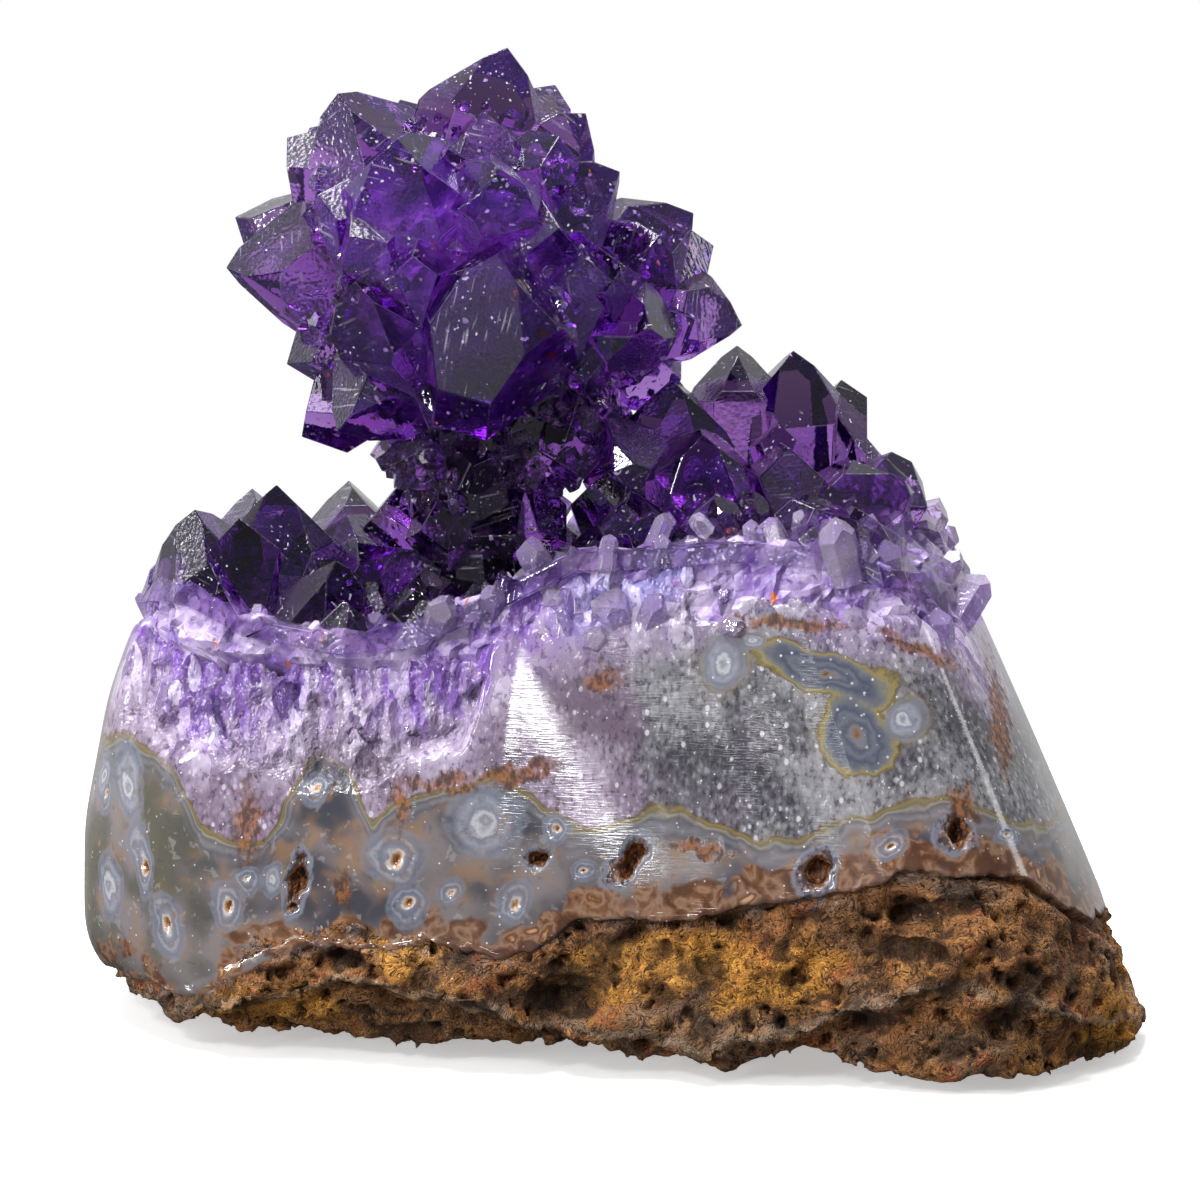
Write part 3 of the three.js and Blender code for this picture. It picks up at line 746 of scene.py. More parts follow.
def polished_stone(settings):
    """The whole wall: agate, quartz and lilac, each with its own grain, under one polish."""
    finish = Finish("polished_wall")
    place = finish.place()
    over_agate = finish.attribute("over_agate")
    over_lilac = finish.attribute("over_lilac")
    broken = finish.attribute("broken")
    hollow = finish.attribute("hollow")
    bent = finish.bent(place, 3.0, 1.1)
    cloud = finish.noise(bent, 7.5, 1.0, 0.6)
    patches = finish.noise(bent, 3.4, 1.0, 0.6)
    crumbs = finish.cells(place, 1.1)[0]
    grit = finish.noise(finish.vector("MULTIPLY", place, (1.0, 1.0, 0.6)), 0.65, 2.0, 0.65)
    rough = finish.noise(place, 1.1, 2.0, 0.6)
    uneven = rough - 0.5
    stone = finish.blend(
        agate_colour(finish, place, bent, cloud, patches), quartz_colour(finish, place, cloud, grit),
        (over_agate + uneven * 1.0).rise(-0.2, 0.3),
    )
    high = (over_lilac + uneven * 4.0).rise(-4.0, 4.5)
    stone = finish.blend(stone, lilac_colour(finish, place, bent, grit), high)
    stone = eye_colours(finish, rough, crumbs, stone)
    spiky = uneven * 0.6 + (grit - 0.5) * 0.7
    stain = (finish.attribute("rust") + spiky * 2.2).rise(1.25, 0.45)
    rusty = finish.blend(linear(70, 36, 14), linear(146, 86, 32), grit.rise(0.4, 0.6))
    stone = finish.blend(stone, rusty, stain * 0.85)
    earth = finish.blend(linear(48, 24, 10), linear(150, 92, 46), grit.rise(0.42, 0.62))
    earth = finish.blend(earth, linear(206, 168, 136), grit.rise(0.62, 0.70))
    lip = (finish.attribute("eye") + (grit - 0.5) * 1.2).rise(0.95, 0.55)
    hollows = finish.attribute("eye_kind").rise(3.4, 3.6)
    stone = finish.blend(stone, earth, hollow.rise(0.02, 0.35).most(lip * hollows * 0.85))
    motes = crumbs.rise(0.13, 0.07) * uneven.rise(-0.1, 0.1)
    stone = finish.blend(stone, linear(236, 234, 238), motes * 0.8)

    wear = finish.noise(finish.vector("MULTIPLY", place, (0.25, 0.25, 2.6)), 0.45, 1.0)
    polish = cloud.rise(0.3, 0.8) * 0.05 + settings.polish
    worn = (polish + stain * 0.4 + hollow * 0.6).least(0.8)
    glassy = finish.cells(finish.vector("MULTIPLY", place, (1.0, 1.0, 0.4)), 1.3)[0]
    relief = finish.relief(wear * 0.010 + glassy * broken * 0.7 + grit * broken * 0.35, 1.0)
    shown = finish.surface(Base_Color=stone, Roughness=worn, IOR=1.54, Normal=relief)
    return finish.done(shown)


class BuildWall(bpy.types.Operator):
    """Makes the polished wall of agate, quartz and lilac quartz"""

    bl_idname = "amethyst.wall"
    bl_label = "Polished wall"

    def execute(self, context):
        settings = context.scene.amethyst_wall
        wall = linked("polished_wall", band_mesh(Flank(), settings))
        finished(wall, polished_stone(settings), ["geode_wall"])
        return {"FINISHED"}


# ---- Host rock ---------------------------------------------------------------------------------------


class RockSettings(bpy.types.PropertyGroup):
    """The rough limonite-stained host rock under the polished wall."""

    skin: FloatProperty(
        name="Skin", description="Size of the faces of its skin", default=0.56 * MM, unit="LENGTH"
    )
    lumps: FloatProperty(
        name="Lumps", description="Height of the broad lumps", default=1.3 * MM, unit="LENGTH"
    )
    pores: FloatProperty(
        name="Pores", description="Depth of the spongy pores", default=1.6 * MM, unit="LENGTH"
    )
    undercut: FloatProperty(
        name="Undercut", description="How far the rock falls back under its ledge", default=2.4 * MM,
        unit="LENGTH",
    )
    tuck: FloatProperty(
        name="Tuck", description="How far it sits back under the wall", default=1.6 * MM, unit="LENGTH"
    )


# Caves in the front, carved in and darkened with painted shade: (x, z, half width, half height, lean), in
# millimetres
CAVES = [
    (-29.5, 12.6, 4.6, 1.5, -8), (-5.5, 9.0, 5.6, 3.0, 10), (33.0, 20.3, 4.6, 1.5, -18),
    (-37.0, 11.0, 2.4, 1.2, 5), (2.2, 16.4, 1.6, 1.2, 0), (43.5, 9.5, 4.8, 2.0, 24),
]
# Golden patches, as the caves are given
GOLDEN = [
    (4, 13.2, 9.0, 3.6, 5), (17, 13, 8.0, 3.4, 5), (-23, 14, 4.6, 2.2, 0), (-37, 6.5, 8.0, 2.6, 0),
    (56, 6, 3.4, 4.2, 0),
]

# Height of the ledge along the front, in millimetres: (x, z)
LEDGE = [
    (-60, 3), (-45, 5.5), (-34, 9.5), (-27, 10.8), (-20, 9.1), (-10, 6.6), (0, 5.2), (9.7, 4.4), (18.4, 6.1),
    (27, 10.2), (36, 12.5), (46, 9.5), (60, 4),
]


def spot_field(spots, places, bend):
    """0 in the middle of the nearest spot on the front, 1 at its edge, more outside it."""
    field = np.full(len(places), 9.0)
    for spot in spots:
        away = oval(spot, places[:, 0] + bend, places[:, 2] + bend)
        field = np.minimum(field, np.where(places[:, 1] < -4 * MM, away, 9.0))
    return field


def flank_gap(flank, places):
    """How far inside the block's outline each place is, and the height of the rock's edge there."""
    turns = np.arctan2(places[:, 1], places[:, 0])
    order = np.argsort(flank.turns)
    column = order[np.clip(np.searchsorted(flank.turns[order], turns), 0, COLUMNS - 1)]
    level = np.clip(((places[:, 2] - LEVELS[0]) / LEVEL).astype(int), 0, len(LEVELS) - 1)
    radii = np.hypot(places[:, 0], places[:, 1])
    return flank.grid[column, level] - radii, flank.rock_edge[column]


def ledge_height(places):
    """How far each place stands over the ledge that runs round the rock, in millimetres."""
    x, y, z = places.T / MM
    front = np.interp(x, *zip(*LEDGE))
    back = 8 + noise_at(places * (1, 1, 0), 24 * MM, 2, 29) * 4
    share = smooth_step(y, -12, 4)
    return z - (front * (1 - share) + back * share)


def craggy(places, size, seed):
    """Sharp-crested noise, 0 in the hollows and about 1 on the crests."""
    shift = Vector((seed * 5.1, seed * 2.3, seed * 7.7))
    return np.array([
        noise.ridged_multi_fractal(Vector(p) / size + shift, 0.9, 2.1, 4, 0.9, 2.0) for p in places
    ]) / 2.2


def rock_mesh(flank, settings):
    shape = merged_copy("host_rock")
    for corner in shape.verts:
        if corner.normal.z > 0.35 and corner.co.z > 3 * MM:
            corner.co.z += 2.0 * MM
    piece = remeshed(linked("rough_rock", mesh_of(shape, "rough_rock")), 0.8 * MM, smooth=6)
    places = corners(piece.data)
    out = vertex_normals(piece.data)
    bend = noise_at(places, 5 * MM, 3, 20) * 1.6
    over_ledge = ledge_height(places) + bend
    crest = np.exp(-((over_ledge - 0.4) / 1.1) ** 2)
    under = smooth_step(-over_ledge, -0.3, 2.6)
    folds = noise_at(places * (0.6, 0.6, 1.5), 9 * MM, 4, 21)
    swell = (
        folds * settings.lumps + crest * 0.9 * MM - under * settings.undercut
        - chipped(places, 6.5 * MM, 1.6) * 1.7 * MM - (1 - smooth_step(caves_at(places), 0.3, 1.1)) * 3.2 * MM
    )
    move_corners(piece.data, places + out * swell[:, None])
    piece = remeshed(piece, settings.skin, smooth=1)

    places = corners(piece.data)
    out = vertex_normals(piece.data)
    bend = noise_at(places, 2.5 * MM, 2, 24)
    sponge = np.array([
        noise.voronoi(Vector(p) / (1.9 * MM) + Vector((b, b, -b)) * 0.5)[0][0] for p, b in zip(places, bend)
    ])
    crags = craggy(places * (0.8, 0.8, 1.3), 4.2 * MM, 25)
    small = craggy(places, 1.5 * MM, 26)
    smoother = smooth_step(noise_at(places, 11 * MM, 2, 27), 0.15, 0.4)
    pore = (1 - smooth_step(sponge, 0.12, 0.42)) * (1 - 0.7 * smoother)
    relief = (crags - 0.5) * 1.1 * MM + (small - 0.5) * 0.55 * MM - pore * settings.pores
    relief *= 0.3 + 0.7 * smooth_step(places[:, 2], 0.3 * MM, 3.5 * MM)
    moved = places + out * relief[:, None]
    gap, edge = flank_gap(flank, moved)
    wanted = settings.tuck * smooth_step(moved[:, 2], edge - 2.2 * MM, edge - 0.2 * MM)
    push = np.clip(wanted - gap, 0, None) * (moved[:, 2] > edge - 3 * MM)
    radii = np.hypot(moved[:, 0], moved[:, 1])
    moved[:, :2] *= (1 - push / np.maximum(radii, MM))[:, None]
    low = moved[:, 2].min()
    moved[:, 2] -= (low - 0.02 * MM) * (1 - smooth_step(moved[:, 2], low, 10 * MM))
    move_corners(piece.data, moved)
    smooth_shaded(piece.data)
    golden = spot_field(GOLDEN, moved, noise_at(moved, 5 * MM, 3, 28) * 2.2 * MM)
    store(piece.data, "crest", (crags - 0.35) * 0.8 + (small - 0.4) * 0.5)
    store(piece.data, "pore", pore)
    store(piece.data, "cave", 1 - smooth_step(caves_at(moved), 0.45, 1.1))
    store(piece.data, "golden", 1 - smooth_step(golden, 0.75, 1.25))
    store(piece.data, "ledge", ledge_height(moved) + noise_at(moved, 5 * MM, 3, 20) * 1.6)
    store(piece.data, "near_wall", smooth_step(moved[:, 2], edge - 3.0 * MM, edge + 0.2 * MM))
    return piece


def caves_at(places):
    return spot_field(CAVES, places, noise_at(places, 3 * MM, 3, 23) * 1.2 * MM)


def limonite():
    """Spongy iron-stained rock: brown and ochre with golden patches, fine dark cracks and pale crusts;
    painted shade darkens its pores, its caves and the hollows between its crags.
    """
    finish = Finish("host_rock")
    place = finish.place()
    bent = finish.bent(place, 3.0, 1.2)
    crest = finish.attribute("crest")
    broad = finish.noise(bent, 9.0, 2.0, 0.62)
    mid = finish.noise(bent, 2.4, 3.0, 0.65)
    fine = finish.noise(bent, 0.8, 3.0, 0.68, 1.6)
    brown = finish.blend(linear(106, 66, 38), linear(184, 120, 68), broad.rise(0.36, 0.64))
    brown = finish.blend(brown, linear(124, 106, 96), finish.noise(place, 12.0, 1.0).rise(0.50, 0.62) * 0.7)
    gold = (finish.attribute("golden") * 0.85 + mid.rise(0.44, 0.70) * 0.4).least(1.0)
    rock = finish.blend(brown, linear(222, 148, 54), gold * 0.75)
    rock = finish.blend(rock, linear(172, 80, 38), finish.noise(bent, 4.6, 2.0, 0.65).rise(0.56, 0.66) * 0.7)
    threads = (fine - 0.5).size().rise(0.060, 0.015)
    straw = finish.blend(linear(194, 146, 96), linear(240, 176, 78), gold)
    rock = finish.blend(rock, straw, threads * (gold * 0.35 + 0.5))
    ledge = finish.attribute("ledge")
    edge = (ledge - 0.4 + (mid - 0.5) * 2.0).size().rise(0.9, 0.2)
    rock = finish.blend(rock, linear(176, 152, 128), (edge * 0.6).most(crest.rise(0.30, 0.55) * 0.45))
    crust = finish.attribute("near_wall") * mid.rise(0.48, 0.62) * 0.8
    rock = finish.blend(rock, linear(152, 142, 146), crust)
    # fine dark cracks, the rock's own, and painted shade in the hollows between the crags
    cracks_and_painted_hollow_shade = fine.rise(0.475, 0.375).most(crest.rise(0.0, -0.22) * 0.9)
    rock = finish.blend(rock, linear(40, 24, 15), cracks_and_painted_hollow_shade * 0.85)
    # painted shade: near black in the pores and caves that are carved into the mesh
    deep = (finish.attribute("pore") * 0.85).most(finish.attribute("cave") * 0.8)
    rock = finish.blend(rock, linear(28, 17, 12), deep)
    sparkle = finish.cells(place, 1.6)[0].rise(0.09, 0.05) * mid.rise(0.5, 0.6)
    rock = finish.blend(rock, linear(228, 214, 200), sparkle)
    rough = (0.85 - sparkle * 0.6 - fine.rise(0.6, 0.75) * 0.3).most(0.2)
    coarse = finish.relief(mid, 0.9)
    relief = finish.relief(fine, 1.1, coarse)
    shown = finish.surface(Base_Color=rock, Roughness=rough, Normal=relief, Specular_IOR_Level=0.4)
    return finish.done(shown)


class BuildRock(bpy.types.Operator):
    """Makes the rough host rock"""

    bl_idname = "amethyst.rock"
    bl_label = "Host rock"

    def execute(self, context):
        settings = context.scene.amethyst_rock
        rock = rock_mesh(Flank(), settings)
        finished(rock, limonite(), ["host_rock"])
        return {"FINISHED"}


# ---- Amethyst --------------------------------------------------------------------------------------


class AmethystSettings(bpy.types.PropertyGroup):
    """The crystal points: the large ones of the frame, and the small ones that grow between them."""

    edge: FloatProperty(
        name="Edge", description="Width of the worn edge between two facets", default=0.14 * MM, unit="LENGTH"
    )
    refraction: FloatProperty(name="Refraction", description="Index of refraction of quartz", default=1.544)
    density: FloatProperty(
        name="Density", description="How fast the violet points take up light, per metre", default=205.0
    )
    pale_density: FloatProperty(
        name="Pale density", description="The same for the pale rim points", default=30.0
    )
    body: FloatVectorProperty(
        name="Body", description="The share of each colour that the crystal lets by", subtype="COLOR",
        size=4, default=(0.66, 0.28, 0.81, 1.0),
    )
    small: FloatProperty(
        name="Small points", description="Half width of the least points", default=0.5 * MM, unit="LENGTH"
    )
    large: FloatProperty(
        name="Largest small points", description="Half width of the greatest of them", default=1.7 * MM,
        unit="LENGTH",
    )
    spacing: FloatProperty(
        name="Spacing", description="Least distance between them", default=1.5 * MM, unit="LENGTH"
    )
    flake: FloatProperty(
        name="Flakes", description="Half width of the flakes sealed in", default=0.16 * MM, unit="LENGTH"
    )


def amethyst(name, settings, density, clearness, tints):
    """Violet quartz: plain transmission and absorption, with etched and striated facets."""
    finish = Finish(name)
    place = finish.place()
    growth = finish.attribute_vector("growth")
    facet = finish.attribute("facet")
    worn = finish.attribute("worn")

    etched = facet.rise(0.66, 0.84)
    patch = finish.noise(place, 5.0, 0.0)
    striae = finish.noise(finish.vector("MULTIPLY", growth, (0.35, 4.5, 1.0)), 1.6, 1.0)
    pits = finish.noise(place, 0.45, 0.0)
    height = striae * (facet * 0.03 + 0.008) + pits * (etched * 0.15 + 0.012) + patch * 0.08
    skin = finish.relief(height, 1.0)
    rough = etched * 0.22 + worn * 0.10
    tint = finish.blend(*tints, patch.rise(0.35, 0.65))
    glass = finish.surface(
        Base_Color=tint, Roughness=rough, IOR=settings.refraction, Transmission_Weight=clearness, Normal=skin,
    )
    specks = pits.rise(0.74, 0.79) * patch.rise(0.44, 0.62) * 0.7
    scratched = etched * 0.22 + facet.rise(0.25, 0.45) * 0.12
    scratches = striae.rise(0.60, 0.72) * patch.rise(0.35, 0.6) * scratched
    marks = specks.most(scratches).most(etched * 0.04)
    chalk = finish.surface(Base_Color=linear(226, 220, 236), Roughness=0.5)
    shown = finish.layered(glass, chalk, marks)
    body = finish.add("ShaderNodeVolumeAbsorption", None, {"Color": tuple(settings.body), "Density": density})
    return finish.done(shown, body.outputs[0])


def clouded_quartz(name):
    """The clouded ground and roots of the points, lilac at the rim; painted shade makes them dark in the
    depths and low down, and painted light makes them lilac high up.
    """
    finish = Finish(name)
    place = finish.place()
    bent = finish.bent(place, 3.0, 1.2)
    cloud = finish.noise(bent, 4.5, 4.0, 0.6)
    fine = finish.noise(bent, 0.9, 3.0, 0.6)
    # painted light and shade: dark away from the rim and low down, where the head shades the neck and the
    # druse's depths lie; lilac rising to 80 mm high, where light comes through the points; the rim's lilac is
    # the band's own colour
    light = finish.attribute("rim").most(finish.part(place, 2).rise(66.0, 80.0))
    deep = finish.blend(linear(30, 12, 50), linear(92, 58, 128), cloud.rise(0.5, 0.75))
    milk = finish.blend(linear(128, 96, 172), linear(214, 196, 232), cloud.rise(0.36, 0.66))
    milk = finish.blend(deep, milk, light)
    milk = finish.blend(milk, linear(44, 18, 74), fine.rise(0.56, 0.68) * 0.6)
    spots = finish.cells(finish.bent(place, 2.0, 0.8), 4.2)[0].rise(0.20, 0.12)
    milk = finish.blend(milk, linear(204, 112, 48), spots * finish.noise(place, 7.0).rise(0.5, 0.6))
    skin = finish.relief(cloud, 0.5)
    return finish.done(finish.surface(Base_Color=milk, Roughness=0.3, Normal=skin))


def sealed_flakes(name):
    """Flakes sealed in the points: mostly white healed cracks, and a few of orange iron oxide."""
    finish = Finish(name)
    own = finish.noise(finish.place(), 3.2, 1.0)
    colour = finish.blend(linear(226, 214, 240), linear(214, 118, 40), own.rise(0.60, 0.62))
    return finish.done(finish.surface(Base_Color=colour, Roughness=0.3))


def roots_of(box, places):
    """Points and radii along the middle of a grown mass, given as shares of its box."""
    low, high = box
    span = high - low
    return [
        (Vector(low[i] + span[i] * at[i] for i in range(3)), radius * span.z) for at, radius in places
    ]


def away_from(places, roots):
    """How far each place stands off each root ball."""
    middles = np.array([tuple(centre) for centre, radius in roots])
    return np.linalg.norm(places[:, None] - middles[None], axis=2) - [radius for centre, radius in roots]


def off_roots(places, roots):
    """How far each place stands off the nearest root ball."""
    return away_from(places, roots).min(1)


def facet_marks(mesh, roots, seed):
    """Stores, for each facet, a number of its own, and its grain along and across its growth."""
    stream = np.random.default_rng(seed)
    centres = read(mesh.polygons, "center", 3)
    normals = read(mesh.polygons, "normal", 3)
    middles = np.array([tuple(centre) for centre, radius in roots])
    growing = centres - middles[away_from(centres, roots).argmin(1)]
    along = growing - normals * (growing * normals).sum(1, keepdims=True)
    along /= np.maximum(np.linalg.norm(along, axis=1, keepdims=True), 1e-9)
    across = np.cross(normals, along)
    count = len(centres)
    order = np.lexsort(np.round(centres / FINEST).T)    # by place, as a bevel's faces come in any order
    own = np.empty(count)
    own[order] = stream.random(count)
    face_of = np.repeat(np.arange(count), read(mesh.polygons, "loop_total", 1, int))
    place = corners(mesh)[read(mesh.loops, "vertex_index", 1, int)] / MM
    growth = np.stack([
        (place * across[face_of]).sum(1), (place * along[face_of]).sum(1), own[face_of] * 90,
    ], 1)
    store(mesh, "facet", own, "FACE")
    store(mesh, "growth", growth, "CORNER", "FLOAT_VECTOR")


def cut_points(name, node, edge, roots, seed):
    """A frame node's crystal points with whole facets and narrow worn edges between them."""
    shape = merged_copy(node)
    bmesh.ops.dissolve_limit(shape, angle_limit=FLAT, verts=shape.verts, edges=shape.edges)
    worn = shape.faces.layers.float.new("worn")
    sharp = [
        e for e in shape.edges
        if e.is_manifold and e.is_convex and e.calc_face_angle() > 0.35 and e.calc_length() > 4 * edge
    ]
    made = bmesh.ops.bevel(
        shape, geom=sharp, offset=edge, offset_type="OFFSET", segments=2, profile=0.6, affect="EDGES",
        clamp_overlap=False,
    )
    for face in made["faces"]:
        face[worn] = 1.0
    bmesh.ops.remove_doubles(shape, verts=shape.verts, dist=SAME_POINT)
    bmesh.ops.recalc_face_normals(shape, faces=shape.faces)
    mesh = mesh_of(shape, name)
    facet_marks(mesh, roots, seed)
    return linked(name, mesh)


def clouded_mass(name, roots, voxel, lump, seed):
    """A chipped closed mass through a run of balls, each joined to the next by a tapered limb."""
    shape = bmesh.new()
    for centre, radius in roots:
        ball = bmesh.ops.create_icosphere(shape, subdivisions=3, radius=radius)
        bmesh.ops.translate(shape, vec=centre, verts=ball["verts"])
    for (a, ra), (b, rb) in zip(roots, roots[1:]):
        limb = bmesh.ops.create_cone(
            shape, cap_ends=True, segments=20, radius1=ra * 0.9, radius2=rb * 0.9, depth=(b - a).length
        )
        turn = (b - a).to_track_quat("Z", "Y").to_matrix().to_4x4()
        turn.translation = (a + b) / 2
        bmesh.ops.transform(shape, matrix=turn, verts=limb["verts"])
    piece = remeshed(linked(name, mesh_of(shape, name)), voxel, smooth=4)
    places = corners(piece.data)
    swell = noise_at(places, 5 * MM, 3, seed) * lump - chipped(places, 3 * MM, 1.0) * lump * 1.5
    move_corners(piece.data, places + vertex_normals(piece.data) * swell[:, None])
    return piece


# ---- Small points, grown over a surface -----------------------------------------------------------------


def quartz_point(name, stream, rise):
    """A six-sided prism of half width 1 that ends in six uneven rhombohedral faces."""
    shape = bmesh.new()
    ring = []
    for level in (-0.8, rise + 2.0):
        ring.append([
            shape.verts.new((math.cos(i * math.pi / 3), math.sin(i * math.pi / 3), level)) for i in range(6)
        ])
    for i in range(6):
        j = (i + 1) % 6
        shape.faces.new((ring[0][i], ring[0][j], ring[1][j], ring[1][i]))
    shape.faces.new(ring[0][::-1])
    shape.faces.new(ring[1])
    across, upright = math.sin(END_FACE), math.cos(END_FACE)
    for i in range(6):
        turn = (i + 0.5) * math.pi / 3
        normal = Vector((math.cos(turn) * across, math.sin(turn) * across, upright))
        reach = 0.70 + 0.30 * (i % 2) + stream.uniform(-0.10, 0.16)
        parts = shape.verts[:] + shape.edges[:] + shape.faces[:]
        middle = normal * reach + Vector((0, 0, rise))
        cut = bmesh.ops.bisect_plane(shape, geom=parts, plane_co=middle, plane_no=normal, clear_outer=True)
        rim = [part for part in cut["geom_cut"] if isinstance(part, bmesh.types.BMEdge)]
        if rim:
            bmesh.ops.contextual_create(shape, geom=rim)
    bmesh.ops.recalc_face_normals(shape, faces=shape.faces)
    return linked(name, mesh_of(shape, name))


def thin_flake(name, stream):
    """A thin uneven plate of half width 1."""
    shape = bmesh.new()
    for level in (-0.12, 0.12):
        for i in range(5):
            turn = i * math.tau / 5 + stream.uniform(-0.3, 0.3)
            reach = stream.uniform(0.4, 1.0)
            shape.verts.new((math.cos(turn) * reach, math.sin(turn) * reach, level))
    hull = bmesh.ops.convex_hull(shape, input=shape.verts)
    inside = [part for part in hull["geom_interior"] if isinstance(part, bmesh.types.BMVert)]
    bmesh.ops.delete(shape, geom=inside, context="VERTS")
    bmesh.ops.recalc_face_normals(shape, faces=shape.faces)
    return linked(name, mesh_of(shape, name))


class Growth(Nodes):
    """Geometry nodes that set shapes over a surface, more thickly where its "grows" attribute is high."""

    INPUTS = (
        ("Spacing", "NodeSocketFloat"), ("Small", "NodeSocketFloat"), ("Large", "NodeSocketFloat"),
        ("Lean", "NodeSocketFloat"), ("Lift", "NodeSocketFloat"), ("Sink", "NodeSocketFloat"),
        ("Seed", "NodeSocketInt"), ("Material", "NodeSocketMaterial"),
    )

    def __init__(self, name, shapes):
        super().__init__(bpy.data.node_groups.new(name, "GeometryNodeTree"))
        interface = self.tree.interface
        interface.new_socket("Geometry", in_out="OUTPUT", socket_type="NodeSocketGeometry")
        self.sockets = {}
        for label, kind in (("Geometry", "NodeSocketGeometry"), *self.INPUTS):
            self.sockets[label] = interface.new_socket(label, in_out="INPUT", socket_type=kind).identifier
        given = self.add("NodeGroupInput").outputs
        grows = self.add("GeometryNodeInputNamedAttribute", {"data_type": "FLOAT"}, {"Name": "grows"})
        spread = self.add("GeometryNodeDistributePointsOnFaces", {"distribute_method": "POISSON"}, {
            "Mesh": given["Geometry"], "Distance Min": given["Spacing"], "Density Max": 2e6,
            "Density Factor": grows.outputs[0], "Seed": given["Seed"],
        }).outputs
        depth = self.number("MULTIPLY", given["Sink"], self.chance(0.15, 1.0, given["Seed"]))
        inward = self.vector("MULTIPLY", spread["Normal"], (-1, -1, -1))
        points = self.add("GeometryNodeSetPosition", None, {
            "Geometry": spread["Points"], "Offset": self.vector("MULTIPLY", inward, depth),
        }).outputs[0]
        upward = self.add("ShaderNodeCombineXYZ", None, {"Z": given["Lift"]}).outputs[0]
        way = self.vector("ADD", spread["Normal"], upward)
        stand = self.add("FunctionNodeAlignRotationToVector", {"axis": "Z"}, {"Vector": way}).outputs[0]
        lean = given["Lean"]
        most = self.add("ShaderNodeCombineXYZ", None, {"X": lean, "Y": lean, "Z": math.pi}).outputs[0]
        least = self.vector("MULTIPLY", most, (-1, -1, -1))
        turns = self.add("FunctionNodeRandomValue", {"data_type": "FLOAT_VECTOR"}, {
            "Min": least, "Max": most, "Seed": given["Seed"],
        }).outputs["Value"]
        turn = self.add("FunctionNodeEulerToRotation", None, {0: turns}).outputs[0]
        turned = self.add("FunctionNodeRotateRotation", {"rotation_space": "LOCAL"}, {
            "Rotation": stand, "Rotate By": turn,
        }).outputs[0]
        share = self.number("POWER", self.chance(0.0, 1.0, given["Seed"], 5), 2.2)
        span = self.number("SUBTRACT", given["Large"], given["Small"])
        scale = self.number("ADD", given["Small"], self.number("MULTIPLY", span, share))
        choice = self.add("GeometryNodeJoinGeometry")
        for shape in shapes:
            info = self.add("GeometryNodeObjectInfo", None, {"Object": shape, "As Instance": True})
            self.tree.links.new(info.outputs["Geometry"], choice.inputs[0])
        placed = self.add("GeometryNodeInstanceOnPoints", None, {
            "Points": points, "Instance": choice.outputs[0], "Pick Instance": True,
            "Rotation": turned, "Scale": scale,
        }).outputs[0]
        real = self.add("GeometryNodeRealizeInstances", None, {0: placed}).outputs[0]
        done = self.add("GeometryNodeSetMaterial", None, {"Geometry": real, "Material": given["Material"]})
        self.add("NodeGroupOutput", None, {0: done.outputs[0]})

    def number(self, operation, *operands):
        return self.add("ShaderNodeMath", {"operation": operation}, dict(enumerate(operands))).outputs[0]

    def chance(self, low, high, seed, shift=0):
        sockets = {2: low, 3: high, "Seed": self.number("ADD", seed, shift)}
        return self.add("FunctionNodeRandomValue", {"data_type": "FLOAT"}, sockets).outputs[1]

    def over(self, name, mesh, **values):
        """A piece of the shapes grown over a mesh, with the tree's inputs given by name."""
        piece = linked(name, mesh)
        modifier = piece.modifiers.new("growth", "NODES")
        modifier.node_group = self.tree
        for label, value in values.items():
            modifier[self.sockets[label]] = value
        return plain(piece)


def ground_for(node, roots, low, high, spare=None):
    """A node's surface, on which "grows" is 1 where it lies close over the roots and 0 far from them."""
    mesh = mesh_of(merged_copy(node), "ground")
    places = corners(mesh)
    grows = 1 - smooth_step(off_roots(places, roots), low, high)
    if spare is not None:
        grows *= spare(places)
    store(mesh, "grows", grows)
    return mesh


# The stalactite's middle, as shares of its box, with the clouded mass's radius as a share of its height
STALACTITE_MIDDLE = [
    ((0.497, 0.708, -0.03), 0.100),
    ((0.454, 0.635, 0.36), 0.090),
    ((0.436, 0.513, 0.634), 0.175),
    ((0.700, 0.684, 0.558), 0.090),
    ((0.600, 0.684, 0.375), 0.080),
]

# Below and inside the druse, as shares of its box: where its points grow away from
DRUSE_MIDDLE = [((0.15, 0.5, -0.6), 0.3), ((0.45, 0.5, -0.9), 0.3), ((0.78, 0.45, 0.0), 0.25)]

# Where the druse's clouded ground swells up under its larger points, as shares of its box
DRUSE_SWELLS = [
    ((0.76, 0.42, 0.10), 0.26),
    ((0.64, 0.30, 0.08), 0.22),
    ((0.90, 0.35, 0.0), 0.2),
    ((0.10, 0.45, -0.14), 0.26),
]
GROUND_LIFT = 2.9 * MM      # how far the ground stands over the frame's wall
GROUND_FOOT = 34 * MM       # below this it is cut off


